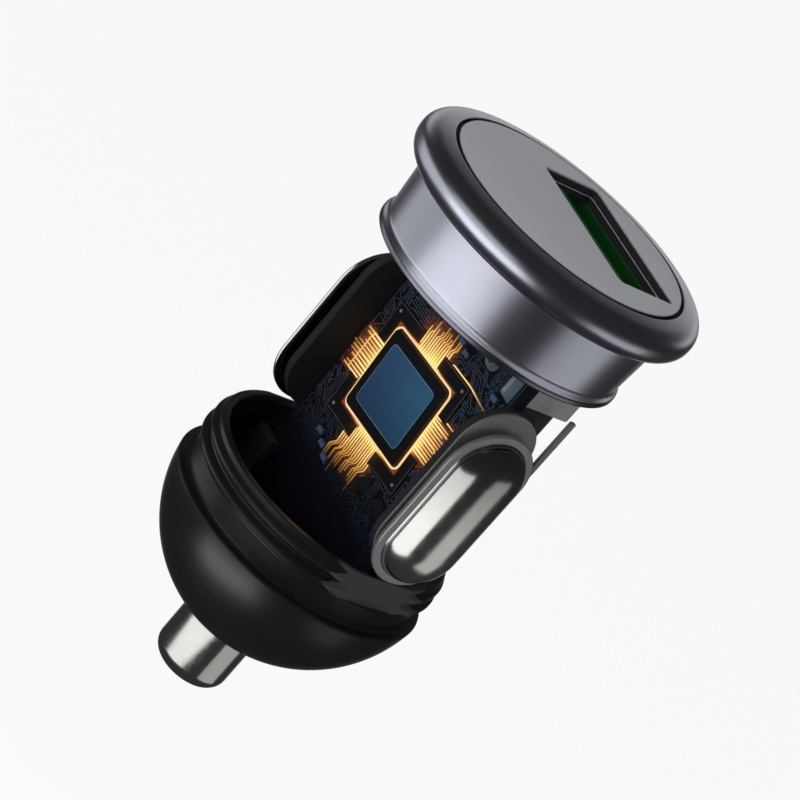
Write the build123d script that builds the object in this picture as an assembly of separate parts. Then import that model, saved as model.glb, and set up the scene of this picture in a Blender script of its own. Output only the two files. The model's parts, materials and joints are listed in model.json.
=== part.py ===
from build123d import *
import os

# Small single-port car charger plug, shown without the tube that joins head and nose.
# Millimetres. The axis is Z, with +Z towards the port. Z = 0 is the plane where the
# rim rests on the socket, +X points to the right-hand side contact, and the parts side
# of the board faces -Y.

# Fits
slip = 0.03              # gap round a piece that drops into its seat
pin_clearance = 0.05     # radial running gap of the centre pin
board_play = 0.05        # gap on each face of the board in a groove

# Head: rim, tapered neck and its flared lower edge
rim_overhang = 1.57      # rim beyond the top of the neck
rim_height = 2.5
rim_crown_rise = 0.28    # edge of the face recess above the top of the round
rim_width = 2.05         # rim from its outer edge to the face recess
neck_margin = 0.35       # neck's bore beyond the corners of the port shell
neck_wall = 0.65         # at the waist, where the neck is thinnest
neck_taper = 0.35        # top of the neck beyond the waist
neck_waist_drop = 4.3
neck_flare = 0.32        # lower edge beyond the waist
neck_flare_drop = 0.35   # waist to the flared edge
neck_lip_height = 0.45
neck_lip_chamfer = 0.15
ledge_reach = 0.7        # how far the ledge under the face reaches into the neck's bore
ledge_thickness = 0.8

# Face plate
face_rise = 0.08         # face above the edge of its recess
face_thickness = 1.2
face_rebate_width = 0.26
face_rebate_depth = 0.4
face_chamfer = 0.08

# Port
port_x = 0.2
shell_width = 13.14
shell_height = 5.74
shell_wall = 0.31
shell_corner = 0.9
shell_length = 9.75
port_hole_inset_x = 0.37  # opening in the face inside the ends of the shell
port_hole_inset_y = 0.145
port_hole_shift = 0.3    # opening off the middle of the shell, away from the board
port_hole_corner = 0.35
frame_wall = 0.12
frame_sink = 0.12        # how far the frame's edge lies below the face
tongue_side_gap = 0.71   # tongue to the shell's short walls
tongue_thickness = 1.84
tongue_sink = 0.65       # tip of the tongue below the face
tongue_gap = 0.5         # tongue to the shell wall on the board's side
port_base_height = 2.0
port_base_rise = 0.1     # base above the lower end of the shell
tongue_chamfer = 0.3
tongue_tip = 1.6         # tongue beyond the ends of the contacts
port_contact_offsets = (-3.5, -1.0, 1.0, 3.5)
port_contact_width = 1.0
port_contact_thickness = 0.25
tail_width = 0.6
tail_thickness = 0.3
tail_rise = 0.75         # centre of the contact tails above the shell's lower end
tail_stickout = 0.5      # tails and legs beyond the far face of the board
leg_width = 1.6
leg_rise = 1.15          # centre of the shell's legs above its lower end
leaf_top = 2.7           # slots of the shell's side springs below the face plate
leaf_length = 3.2
leaf_slot = 1.8
leaf_width = 1.2
leaf_offset = 0.3        # side springs off the middle of the shell

# Board
board_half_width = 7.9
board_thickness = 0.8
board_top = 0.5
board_drop = 5.0         # lower end of the board below the centre of the ball
board_corner_cut = 1.7
board_tab_width = 1.6
board_tab_gap = 6.0
leg_slot_play = 0.1
tail_hole_radius = 0.42

# Sleeve inside the neck
liner_wall = 0.7
liner_setback = 0.2      # lower edge of the sleeve above the neck's
liner_rib = 0.8
liner_rib_depth = 0.9    # how far the ribs reach over the board
liner_rib_setback = 0.3

# Controller in the middle of the board
chip_x = -0.9
chip_z = -15.1
chip_turn = 5.6          # degrees that the controller and its corner blocks are turned on the board
chip_width = 7.9
chip_length = 6.58
chip_height = 0.25
chip_edge = 0.08
lid_border = 0.8         # chip showing round its lid
lid_height = 0.08
lid_corner = 0.45
ring_gap = 0.1           # chip to the gold ring
ring_line = 0.13
ring_height = 0.1
ring_corner = 0.6
block_width = 3.9
block_length = 3.1
block_arm = 1.05
block_height = 0.12
block_gap = 0.15         # gold ring to the corner blocks
post_inset = 0.6
post_radius = 0.12
post_height = 0.06

# Small parts on the front of the board
smd_length = 0.7
smd_width = 0.38
smd_height = 0.28
smd_places = ((0.5, -8.5), (1.5, -8.8), (-4.4, -21.6), (-3.4, -22.0), (-2.4, -22.4), (6.2, -8.7))
solder_height = 0.38
solder_spread = 0.35     # solder beyond the edge of the hole or slot
solder_taper = 35

# Parts on the back of the board
can_radius = 3.15
can_length = 11.0
can_x = 3.2
can_gap = 0.25           # can to the lower end of the shell
can_groove = 0.35
can_groove_rise = 1.6
can_lead_radius = 0.3
can_lead_pitch = 2.5
can_lead_length = 1.5
coil_side = 6.0
coil_height = 3.2
coil_x = -4.2
coil_z = -13.0
coil_corner = 1.0
coil_core_radius = 2.1
coil_groove = 0.4        # width and depth of the groove round the core

# Side contacts, one on each side
contact_centre_z = -15.95
contact_half_length = 6.85
contact_half_width = 3.6
contact_sheet = 0.4
contact_height = 2.05    # back of the flange to the crown of the dome
contact_border = 0.65    # flat flange left round the dome
contact_travel = 0.5
contact_rest_gap = 0.12  # strip to flange when the contact is pressed right in
holder_thickness = 0.55
holder_half_length = 7.25
holder_half_width = 3.3
holder_rise = 0.85       # centre of the holder above the centre of the contact
strip_thickness = 0.2
strip_border = 0.1       # holder showing round the strip
arm_gap = 0.1            # edge of the flange to the strip's arm
arm_width = 0.4
arm_thickness = 0.3
arm_rise = 2.25          # arm beyond the upper end of the contact
arm_foot_drop = 5.0      # foot of the arm below the upper end of the contact
spring_half_span = 4.6
spring_width = 1.6
spring_sheet = 0.2

# Nose cap
ball_radius = 10.5
ball_centre_rise = 1.1   # centre of the ball above its flat upper edge
cap_wall = 1.3
collar_gap = 0.2         # lower end of the side contacts to the collar
collar_height = 4.1      # collar's upper edge above the ball's
collar_inset = 0.8       # collar inside the radius of the ball
collar_wall = 0.65
collar_flat_depth = 0.3  # flats on the collar under the side contacts
ring_rise_low = 0.42     # how far each ring stands out of the collar
ring_rise_high = 0.32
ring_drop_low = 1.9      # each ring below the collar's upper edge
ring_drop_high = 0.85
ring_half = 0.14         # half the flat on a ring's crest
ring_slope = 0.28
ball_edge_chamfer = 0.15
slot_rib = 0.8
slot_reach = 1.2         # how far the slots hold the board's edges
slot_drop = 2.2          # slots begin below the collar's upper edge
slot_floor_reach = 2.6
root_depth = 0.5         # how far joined features of the cap run into each other
pocket_play = 0.3        # pin's flange to the wall of its pocket
pocket_end_wall = 1.9    # cap between the pin's pocket and the end of the ball

# Centre pin, its spring and the terminal under the board
pin_radius = 2.9
pin_reach = 4.5          # tip of the pin beyond the end of the ball
pin_tip_round = 1.2
pin_flange_width = 1.1
pin_flange_height = 1.0
pin_wall = 0.8
pin_end_wall = 1.5
pin_travel = 2.0
terminal_overlap = 0.5   # terminal beyond the pin's bore
terminal_thickness = 0.4
terminal_lug_width = 2.0
terminal_lug_height = 2.4
terminal_lug_thickness = 0.4
pin_spring_play = 0.15
pin_spring_wire = 0.4
pin_spring_turns = 6.0

# Sizes that follow from the ones above
rim_crown = rim_height + rim_crown_rise
face_top = rim_crown + face_rise
face_seat = face_top - face_thickness
board_front = -board_thickness / 2
board_back = board_thickness / 2
port_y = board_back + shell_height / 2
shell_bottom = face_seat - shell_length
corner_x = shell_width / 2 + abs(port_x) - shell_corner
corner_y = board_back + shell_height - shell_corner
port_reach = (corner_x**2 + corner_y**2) ** 0.5 + shell_corner
neck_bore = port_reach + neck_margin
neck_waist_radius = neck_bore + neck_wall
neck_top_radius = neck_waist_radius + neck_taper
neck_lip_radius = neck_waist_radius + neck_flare
neck_lip_drop = neck_waist_drop + neck_flare_drop
neck_drop = neck_lip_drop + neck_lip_height
rim_radius = neck_top_radius + rim_overhang
rim_round = min(rim_height / 2, rim_overhang) - 0.02
face_radius = rim_radius - rim_width
liner_bottom = liner_setback - neck_drop
inside_width = shell_width - 2 * shell_wall
inside_height = shell_height - 2 * shell_wall
tongue_width = inside_width - 2 * tongue_side_gap
port_hole_width = shell_width - 2 * port_hole_inset_x
port_hole_height = shell_height - 2 * port_hole_inset_y
holder_inner = board_half_width + slip
strip_inner = holder_inner + holder_thickness
strip_outer = strip_inner + strip_thickness
contact_back = strip_outer + contact_rest_gap + contact_travel
contact_crown = contact_back + contact_height
contact_top = contact_centre_z + contact_half_length
collar_top = contact_centre_z - contact_half_length - collar_gap
collar_neck_radius = ball_radius - collar_inset
collar_bore_radius = collar_neck_radius - collar_wall
ball_top = collar_top - collar_height
ball_centre = ball_top + ball_centre_rise
inner_ball = ball_radius - cap_wall
slot_top = collar_top - slot_drop
board_bottom = ball_centre - board_drop
pocket_floor = ball_centre - ball_radius + pocket_end_wall
pin_tip = ball_centre - ball_radius - pin_reach
pin_bore_radius = pin_radius - pin_wall
pin_flange_radius = pin_radius + pin_flange_width
pocket_radius = pin_flange_radius + pocket_play
terminal_radius = pin_bore_radius + terminal_overlap


def outline(*corners):
    """Closed flat face through (x, y) points, each with a third value where it is eased.

    A positive third value is a radius and a negative one a chamfer.
    """
    face = make_face(Polyline(*[corner[:2] for corner in corners], close=True))
    for x, y, *ease in corners:
        if ease:
            corner = face.vertices().sort_by_distance((x, y, 0))[0]
            face = fillet(corner, ease[0]) if ease[0] > 0 else chamfer(corner, -ease[0])
    return face


def turned(*corners):
    """Body turned about Z from (radius, z, easing) points."""
    return revolve(Plane.XZ * outline(*corners), Axis.Z)


def slab(x0, x1, y0, y1, z0, z1):
    """Block between two opposite corners."""
    size = Box(abs(x1 - x0), abs(y1 - y0), abs(z1 - z0))
    return Pos((x0 + x1) / 2, (y0 + y1) / 2, (z0 + z1) / 2) * size


def port_block(width, height, corner, z0, z1):
    """Rounded block along Z, centred on the port."""
    face = Plane.XY.offset(z0) * Pos(port_x, port_y) * RectangleRounded(width, height, corner)
    return extrude(face, z1 - z0)


def pill(half_length, half_width, x0, x1, rise=0):
    """Round-ended plate standing at the right-hand side, thick along X."""
    plane = Plane((x0, 0, contact_centre_z + rise), x_dir=(0, 0, 1), z_dir=(1, 0, 0))
    return extrude(plane * SlotOverall(2 * half_length, 2 * half_width), x1 - x0)


def arch(half_length, half_width, foot, crown):
    """Long dome at the right-hand side: half an ellipse across, with round ends."""
    height = crown - foot
    straight = 2 * (half_length - half_width)
    across = EllipticalCenterArc((foot, 0), height, half_width, start_angle=-90, arc_size=180)
    section = make_face([across, Line(across @ 1, across @ 0)])
    shape = Pos(0, 0, contact_centre_z - straight / 2) * extrude(section, straight)
    quarter = EllipticalCenterArc((foot, 0), height, half_width, start_angle=0, arc_size=90)
    corner = Vector(foot, 0)
    half_section = make_face([quarter, Line(quarter @ 1, corner), Line(corner, quarter @ 0)])
    end = revolve(half_section, Axis.X)
    for side in (-1, 1):
        shape += Pos(0, 0, contact_centre_z + side * straight / 2) * end
    return shape


def on_board(face, depth, level=board_front):
    """Piece standing on the front of the board from a face drawn in (x, z)."""
    return extrude(Plane.XZ.offset(-level) * face, depth)


def solder(face):
    """Tapered drop of solder on the front of the board."""
    return extrude(Plane.XZ.offset(-board_front) * face, solder_height, taper=solder_taper)


def drill(x, z, radius):
    """Hole through the board at (x, z)."""
    return extrude(Plane.XZ * Pos(x, z) * Circle(radius), board_thickness, both=True)


def coil_spring(radius, wire, turns, length):
    """Open coil along Z, from its base at the origin to its full length."""
    rise = length - wire
    path = Pos(0, 0, wire / 2) * Helix(rise / turns, rise, radius)
    section = Plane(path @ 0, z_dir=path % 0) * RegularPolygon(wire / 2, 6)
    return sweep(section, path, is_frenet=True)


def mirrored(shape):
    """The same piece for the left-hand side."""
    return mirror(shape, Plane.YZ)


# Head
bezel = turned(
    (neck_bore - ledge_reach, face_seat),
    (face_radius + slip, face_seat),
    (face_radius + slip, rim_crown, -face_chamfer),
    (rim_radius, rim_height, rim_round),
    (rim_radius, 0, rim_round),
    (neck_top_radius, 0),
    (neck_waist_radius, -neck_waist_drop),
    (neck_lip_radius, -neck_lip_drop),
    (neck_lip_radius, -neck_drop, -neck_lip_chamfer),
    (neck_bore, -neck_drop),
    (neck_bore, face_seat - ledge_thickness),
    (neck_bore - ledge_reach, face_seat - ledge_thickness),
)
shell_room = port_block(
    shell_width + 4 * slip, shell_height + 4 * slip, shell_corner, shell_bottom, face_seat
)
bezel -= shell_room

face_plate = turned(
    (0, face_seat),
    (face_radius, face_seat),
    (face_radius, face_top - face_rebate_depth),
    (face_radius - face_rebate_width, face_top - face_rebate_depth),
    (face_radius - face_rebate_width, face_top, -face_chamfer),
    (0, face_top),
)
shifted = Pos(0, port_hole_shift)
face_plate -= shifted * port_block(
    port_hole_width, port_hole_height, port_hole_corner, face_seat, face_top
)

frame_width = port_hole_width - 2 * slip
frame_height = port_hole_height - 2 * slip
port_frame = shifted * port_block(
    frame_width, frame_height, port_hole_corner - slip, face_seat, face_top - frame_sink
)
port_frame -= shifted * port_block(
    frame_width - 2 * frame_wall,
    frame_height - 2 * frame_wall,
    port_hole_corner - slip - frame_wall,
    face_seat,
    face_top,
)

liner_top = face_seat - ledge_thickness
liner_radius = neck_bore - slip
liner_inner = liner_radius - liner_wall
neck_liner = turned(
    (liner_inner, liner_bottom),
    (liner_radius, liner_bottom),
    (liner_radius, liner_top),
    (liner_inner, liner_top),
)
for side in (-1, 1):
    for face in (-1, 1):
        inner = board_half_width - liner_rib_depth
        rib = slab(
            side * inner,
            side * (liner_inner + liner_wall / 2),
            face * (board_back + board_play),
            face * (board_back + board_play + liner_rib),
            liner_bottom + liner_rib_setback,
            liner_top,
        )
        neck_liner += rib
neck_liner -= shell_room

# Port: shell with legs, tongue with its base, and the contacts
shell_inside = port_block(
    inside_width, inside_height, shell_corner - shell_wall, shell_bottom, face_seat
)
usb_shell = port_block(shell_width, shell_height, shell_corner, shell_bottom, face_seat) - shell_inside
port_floor = board_back + shell_wall
tail_z = shell_bottom + tail_rise
leg_z = shell_bottom + leg_rise
leg_end = board_front - tail_stickout
usb_shell -= slab(
    port_x + port_contact_offsets[0] - port_contact_width,
    port_x + port_contact_offsets[-1] + port_contact_width,
    board_back - slip,
    port_floor + slip,
    shell_bottom,
    tail_z + 2 * tail_thickness,
)
for side in (-1, 1):
    outer = port_x + side * shell_width / 2
    inner = outer - side * shell_wall
    usb_shell += slab(
        inner, outer, leg_end, board_back + shell_corner, leg_z - leg_width / 2, leg_z + leg_width / 2
    )
    leaf_y = port_y + leaf_offset
    leaf_z = face_seat - leaf_top
    slot = slab(
        inner - side * slip,
        outer + side * slip,
        leaf_y - leaf_slot / 2,
        leaf_y + leaf_slot / 2,
        leaf_z - leaf_length,
        leaf_z,
    )
    leaf = slab(
        inner,
        outer,
        leaf_y - leaf_width / 2,
        leaf_y + leaf_width / 2,
        leaf_z - leaf_length,
        leaf_z - (leaf_slot - leaf_width),
    )
    usb_shell = usb_shell - slot + leaf

tongue_floor = port_floor + tongue_gap
tongue_face = tongue_floor + tongue_thickness
base_top = shell_bottom + port_base_height
tongue = slab(
    port_x - tongue_width / 2,
    port_x + tongue_width / 2,
    tongue_floor,
    tongue_face,
    shell_bottom,
    face_top - tongue_sink,
)
tongue = chamfer(tongue.faces().sort_by(Axis.Z)[-1].edges(), tongue_chamfer)
base = port_block(
    inside_width - 2 * slip,
    inside_height - 2 * slip,
    shell_corner - shell_wall,
    shell_bottom + port_base_rise,
    base_top,
)
usb_tongue = base + tongue

contact_strip_bottom = tail_z - tail_thickness / 2
port_contacts = []
for offset in port_contact_offsets:
    x = port_x + offset
    strip = slab(
        x - port_contact_width / 2,
        x + port_contact_width / 2,
        tongue_face,
        tongue_face + port_contact_thickness,
        contact_strip_bottom,
        face_top - tongue_sink - tongue_tip,
    )
    tail = slab(
        x - tail_width / 2,
        x + tail_width / 2,
        leg_end,
        tongue_face,
        tail_z - tail_thickness / 2,
        tail_z + tail_thickness / 2,
    )
    port_contacts.append(strip + tail)
    usb_tongue -= slab(
        x - port_contact_width / 2 - slip,
        x + port_contact_width / 2 + slip,
        tongue_face,
        tongue_face + port_contact_thickness + slip,
        shell_bottom,
        base_top,
    )
    usb_tongue -= slab(
        x - tail_width / 2 - slip,
        x + tail_width / 2 + slip,
        board_back - slip,
        tongue_face,
        shell_bottom,
        tail_z + tail_thickness / 2 + slip,
    )

# Board, cut for the legs and tails, with two tabs on each side for the contact holders
half = board_half_width
cut = board_corner_cut
board_face = outline(
    (-half, board_top),
    (half, board_top),
    (half, board_bottom + cut),
    (half - cut, board_bottom),
    (-half + cut, board_bottom),
    (-half, board_bottom + cut),
)
tab_places = (contact_centre_z - board_tab_gap / 2, contact_centre_z + board_tab_gap / 2)
tab_reach = strip_inner
for z in tab_places:
    board_face += Pos(0, z) * Rectangle(2 * tab_reach, board_tab_width)
main_board = extrude(Plane.XZ * board_face, board_thickness / 2, both=True)
for side in (-1, 1):
    x = port_x + side * (shell_width - shell_wall) / 2
    reach = shell_wall / 2 + leg_slot_play
    main_board -= slab(
        x - reach,
        x + reach,
        board_front,
        board_back,
        leg_z - leg_width / 2 - leg_slot_play,
        leg_z + leg_width / 2 + leg_slot_play,
    )
for offset in port_contact_offsets:
    main_board -= drill(port_x + offset, tail_z, tail_hole_radius)

# Controller with its lid, gold ring and corner blocks
chip_place = Pos(chip_x, chip_z) * Rot(0, 0, chip_turn)
controller_chip = on_board(chip_place * Rectangle(chip_width, chip_length), chip_height)
controller_chip = chamfer(controller_chip.faces().sort_by(Axis.Y)[0].edges(), chip_edge)
chip_top = board_front - chip_height
lid_width = chip_width - 2 * lid_border
lid_length = chip_length - 2 * lid_border
lid_face = RectangleRounded(lid_width, lid_length, lid_corner)
chip_lid = on_board(chip_place * lid_face, lid_height, chip_top)
ring_width = chip_width + 2 * (ring_gap + ring_line)
ring_length = chip_length + 2 * (ring_gap + ring_line)
ring_face = RectangleRounded(ring_width, ring_length, ring_corner) - RectangleRounded(
    ring_width - 2 * ring_line, ring_length - 2 * ring_line, ring_corner - ring_line
)
guard_ring = on_board(chip_place * ring_face, ring_height)

corner_blocks = Part()
corner_posts = Part()
for side_x in (-1, 1):
    for side_z in (-1, 1):
        edge_x = ring_width / 2 + block_gap
        edge_z = ring_length / 2 + block_gap
        out_x = edge_x + block_arm
        out_z = edge_z + block_arm
        shape = outline(
            (side_x * out_x, side_z * out_z),
            (side_x * out_x, side_z * (out_z - block_length)),
            (side_x * edge_x, side_z * (out_z - block_length)),
            (side_x * edge_x, side_z * edge_z),
            (side_x * (out_x - block_width), side_z * edge_z),
            (side_x * (out_x - block_width), side_z * out_z),
        )
        corner_blocks += on_board(chip_place * shape, block_height)
        post = Pos(side_x * (out_x - post_inset), side_z * (out_z - post_inset)) * Circle(post_radius)
        corner_posts += on_board(chip_place * post, post_height, board_front - block_height)

chip_capacitors = Part()
for x, z in smd_places:
    chip_capacitors += on_board(Pos(x, z) * Rectangle(smd_length, smd_width), smd_height)

# Can and coil on the back of the board
can_top = shell_bottom - can_gap
can_bottom = can_top - can_length
can_y = board_back + can_radius
groove_z = can_bottom + can_groove_rise
input_capacitor = Pos(can_x, can_y) * turned(
    (0, can_bottom),
    (can_radius, can_bottom),
    (can_radius, groove_z - 2 * can_groove),
    (can_radius - can_groove, groove_z),
    (can_radius, groove_z + 2 * can_groove),
    (can_radius, can_top, -can_groove),
    (0, can_top),
)
capacitor_leads = Part()
lead_z = can_bottom - can_lead_length
lead_reach = can_y - board_front + tail_stickout
for side in (-1, 1):
    x = can_x + side * can_lead_pitch / 2
    bent = FilletPolyline(
        (x, can_y, can_bottom),
        (x, can_y, lead_z),
        (x, can_y - lead_reach, lead_z),
        radius=2 * can_lead_radius,
    )
    section = Plane(bent @ 0, z_dir=bent % 0) * Circle(can_lead_radius)
    capacitor_leads += sweep(section, path=bent)
    main_board -= drill(x, lead_z, can_lead_radius + leg_slot_play)

# Solder round each tail, leg and lead where it comes through the board
solder_joints = Part()
for offset in port_contact_offsets:
    tail_spot = Circle(tail_hole_radius + solder_spread)
    solder_joints += solder(Pos(port_x + offset, tail_z) * tail_spot)
for side in (-1, 1):
    leg_x = port_x + side * (shell_width - shell_wall) / 2
    leg_spot = Rectangle(
        shell_wall + 2 * (leg_slot_play + solder_spread),
        leg_width + 2 * (leg_slot_play + solder_spread),
    )
    solder_joints += solder(Pos(leg_x, leg_z) * leg_spot)
    lead_spot = Circle(can_lead_radius + leg_slot_play + solder_spread)
    solder_joints += solder(Pos(can_x + side * can_lead_pitch / 2, lead_z) * lead_spot)
for piece in port_contacts + [usb_shell, capacitor_leads]:
    solder_joints -= piece

inductor = slab(
    coil_x - coil_side / 2,
    coil_x + coil_side / 2,
    board_back,
    board_back + coil_height,
    coil_z - coil_side / 2,
    coil_z + coil_side / 2,
)
inductor = fillet(inductor.edges().filter_by(Axis.Y), coil_corner)
coil_face = Plane.XZ.offset(-board_back - coil_height) * Pos(coil_x, coil_z)
core_groove = Circle(coil_core_radius + coil_groove) - Circle(coil_core_radius)
inductor -= extrude(coil_face * core_groove, coil_groove)

# Side contacts: holder on the board's edge, strip, springs and the sprung contact
holder_right = pill(
    holder_half_length, holder_half_width, holder_inner, strip_inner, holder_rise
)
for z in tab_places:
    holder_right -= slab(
        holder_inner,
        strip_inner,
        board_front - board_play,
        board_back + board_play,
        z - board_tab_width / 2 - board_play,
        z + board_tab_width / 2 + board_play,
    )
strip_half_length = holder_half_length - strip_border
strip_half_width = holder_half_width - strip_border
strip_right = pill(strip_half_length, strip_half_width, strip_inner, strip_outer, holder_rise)
arm_inner = contact_half_width + arm_gap
arm_foot = contact_top - arm_foot_drop
strip_right += slab(
    strip_inner, strip_outer, 0, arm_inner + arm_width, arm_foot - arm_width, arm_foot + arm_width
)
strip_right += slab(
    strip_outer,
    strip_outer + arm_thickness,
    arm_inner,
    arm_inner + arm_width,
    arm_foot - arm_width,
    contact_top + arm_rise,
)

flange = pill(contact_half_length, contact_half_width, contact_back, contact_back + contact_sheet)
dome_half_length = contact_half_length - contact_border
dome_half_width = contact_half_width - contact_border
dome_foot = contact_back + contact_sheet
dome = arch(dome_half_length, dome_half_width, dome_foot, contact_crown)
hollow_half_length = dome_half_length - contact_sheet
hollow_half_width = dome_half_width - contact_sheet
hollow_top = contact_crown - contact_sheet
hollow = arch(hollow_half_length, hollow_half_width, dome_foot, hollow_top)
hollow += pill(hollow_half_length, hollow_half_width, contact_back, dome_foot)
side_contact_right = flange + dome - hollow

edge_share = (1 - (spring_width / 2 / hollow_half_width) ** 2) ** 0.5
bow_top = dome_foot + (hollow_top - dome_foot) * edge_share - slip
bow_ends = (contact_centre_z - spring_half_span, contact_centre_z + spring_half_span)
inner_bow = ThreePointArc(
    (strip_outer, bow_ends[0]),
    (bow_top - spring_sheet, contact_centre_z),
    (strip_outer, bow_ends[1]),
)
outer_bow = ThreePointArc(
    (strip_outer + spring_sheet, bow_ends[1]),
    (bow_top, contact_centre_z),
    (strip_outer + spring_sheet, bow_ends[0]),
)
bow_edges = [
    inner_bow,
    Line(inner_bow @ 1, outer_bow @ 0),
    outer_bow,
    Line(outer_bow @ 1, inner_bow @ 0),
]
side_spring_right = extrude(Plane.XZ * make_face(bow_edges), spring_width / 2, both=True)

# Nose cap: ball end, ringed collar, slots for the board and the bore for the pin
ball = Pos(0, 0, ball_centre) * Sphere(ball_radius)
ball -= slab(-ball_radius, ball_radius, -ball_radius, ball_radius, ball_top, ball_centre + ball_radius)
ball = chamfer(ball.faces().sort_by(Axis.Z)[-1].edges(), ball_edge_chamfer)
ring_radius_low = collar_neck_radius + ring_rise_low
ring_radius_high = collar_neck_radius + ring_rise_high
ring_low = collar_top - ring_drop_low
ring_high = collar_top - ring_drop_high
collar = turned(
    (0, ball_top - root_depth),
    (collar_neck_radius, ball_top - root_depth),
    (collar_neck_radius, ring_low - ring_half - ring_slope),
    (ring_radius_low, ring_low - ring_half),
    (ring_radius_low, ring_low + ring_half),
    (collar_neck_radius, ring_low + ring_half + ring_slope),
    (collar_neck_radius, ring_high - ring_half - ring_slope),
    (ring_radius_high, ring_high - ring_half),
    (ring_radius_high, ring_high + ring_half),
    (collar_neck_radius, ring_high + ring_half + ring_slope),
    (collar_neck_radius, collar_top, -face_chamfer),
    (0, collar_top),
)
flat_x = collar_neck_radius - collar_flat_depth
flat_bottom = ring_low - ring_half - ring_slope
for side in (-1, 1):
    collar -= slab(side * flat_x, side * ball_radius, -ball_radius, ball_radius, flat_bottom, collar_top)
cavity = turned(
    (0, ball_centre),
    (inner_ball, ball_centre),
    (collar_bore_radius, collar_top),
    (0, collar_top),
)
cavity += Pos(0, 0, ball_centre) * Sphere(inner_ball)
slots = Part()
for side in (-1, 1):
    for face in (-1, 1):
        slots += slab(
            side * (board_half_width - slot_reach),
            side * (inner_ball + root_depth),
            face * (board_back + board_play),
            face * (board_back + board_play + slot_rib),
            board_bottom,
            slot_top,
        )
    slots += slab(
        side * (board_half_width - slot_floor_reach),
        side * (inner_ball + root_depth),
        -board_back - board_play - slot_rib,
        board_back + board_play + slot_rib,
        board_bottom - slot_rib,
        board_bottom,
    )
body_room = Pos(0, 0, ball_centre) * Sphere(inner_ball + root_depth)
nose_cap = ball + collar - cavity + (slots & body_room)
nose_cap -= Pos(0, 0, (pocket_floor + board_bottom) / 2) * Cylinder(
    pocket_radius, board_bottom - pocket_floor
)
nose_cap -= Pos(0, 0, (pocket_floor + pin_tip) / 2) * Cylinder(
    pin_radius + pin_clearance, pocket_floor - pin_tip
)

# Centre pin, hollow for its spring
flange_top = pocket_floor + pin_flange_height
spring_floor = pin_tip + pin_end_wall
centre_pin = turned(
    (0, pin_tip),
    (pin_radius, pin_tip, pin_tip_round),
    (pin_radius, pocket_floor),
    (pin_flange_radius, pocket_floor),
    (pin_flange_radius, flange_top, -pin_clearance),
    (pin_bore_radius, flange_top),
    (pin_bore_radius, spring_floor),
    (0, spring_floor),
)
terminal_bottom = board_bottom - terminal_thickness
pin_spring_radius = pin_bore_radius - pin_spring_play - pin_spring_wire / 2
pin_spring = Pos(0, 0, spring_floor) * coil_spring(
    pin_spring_radius, pin_spring_wire, pin_spring_turns, terminal_bottom - spring_floor
)
spring_terminal = Pos(0, 0, board_bottom - terminal_thickness / 2) * Cylinder(
    terminal_radius, terminal_thickness
)
for face in (-1, 1):
    spring_terminal += slab(
        -terminal_lug_width / 2,
        terminal_lug_width / 2,
        face * board_back,
        face * (board_back + terminal_lug_thickness),
        terminal_bottom,
        board_bottom + terminal_lug_height,
    )

pieces = {
    "bezel": bezel,
    "face_plate": face_plate,
    "port_frame": port_frame,
    "neck_liner": neck_liner,
    "usb_shell": usb_shell,
    "usb_tongue": usb_tongue,
    "main_board": main_board,
    "controller_chip": controller_chip,
    "chip_lid": chip_lid,
    "guard_ring": guard_ring,
    "corner_blocks": corner_blocks,
    "corner_posts": corner_posts,
    "chip_capacitors": chip_capacitors,
    "solder_joints": solder_joints,
    "input_capacitor": input_capacitor,
    "capacitor_leads": capacitor_leads,
    "inductor": inductor,
    "holder_right": holder_right,
    "holder_left": mirrored(holder_right),
    "strip_right": strip_right,
    "strip_left": mirrored(strip_right),
    "side_contact_right": side_contact_right,
    "side_contact_left": mirrored(side_contact_right),
    "side_spring_right": side_spring_right,
    "side_spring_left": mirrored(side_spring_right),
    "nose_cap": nose_cap,
    "centre_pin": centre_pin,
    "pin_spring": pin_spring,
    "spring_terminal": spring_terminal,
}
for number, contact in enumerate(port_contacts, start=1):
    pieces[f"usb_contact_{number}"] = contact

os.makedirs("parts", exist_ok=True)
for name, piece in pieces.items():
    export_step(piece, f"parts/{name}.step")
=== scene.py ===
import json
import math
import random

import bmesh
import bpy
from mathutils import Matrix, Vector

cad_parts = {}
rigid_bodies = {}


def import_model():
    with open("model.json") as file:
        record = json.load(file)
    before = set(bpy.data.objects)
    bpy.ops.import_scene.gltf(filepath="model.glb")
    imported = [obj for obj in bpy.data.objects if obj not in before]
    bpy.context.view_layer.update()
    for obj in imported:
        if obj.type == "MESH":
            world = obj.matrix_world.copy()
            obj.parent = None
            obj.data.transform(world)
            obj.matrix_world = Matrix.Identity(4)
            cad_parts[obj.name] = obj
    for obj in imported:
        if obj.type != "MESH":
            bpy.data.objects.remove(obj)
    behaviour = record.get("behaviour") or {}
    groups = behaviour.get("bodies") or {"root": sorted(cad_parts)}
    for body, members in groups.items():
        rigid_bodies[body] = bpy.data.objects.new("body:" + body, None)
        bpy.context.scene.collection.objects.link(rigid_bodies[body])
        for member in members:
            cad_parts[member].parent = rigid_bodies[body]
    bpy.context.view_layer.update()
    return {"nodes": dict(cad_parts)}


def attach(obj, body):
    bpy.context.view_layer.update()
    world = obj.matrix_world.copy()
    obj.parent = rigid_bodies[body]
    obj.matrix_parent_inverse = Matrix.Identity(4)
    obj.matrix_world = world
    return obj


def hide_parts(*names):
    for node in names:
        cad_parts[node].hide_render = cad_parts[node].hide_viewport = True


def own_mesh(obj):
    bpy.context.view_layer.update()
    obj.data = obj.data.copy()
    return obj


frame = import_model()

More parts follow.
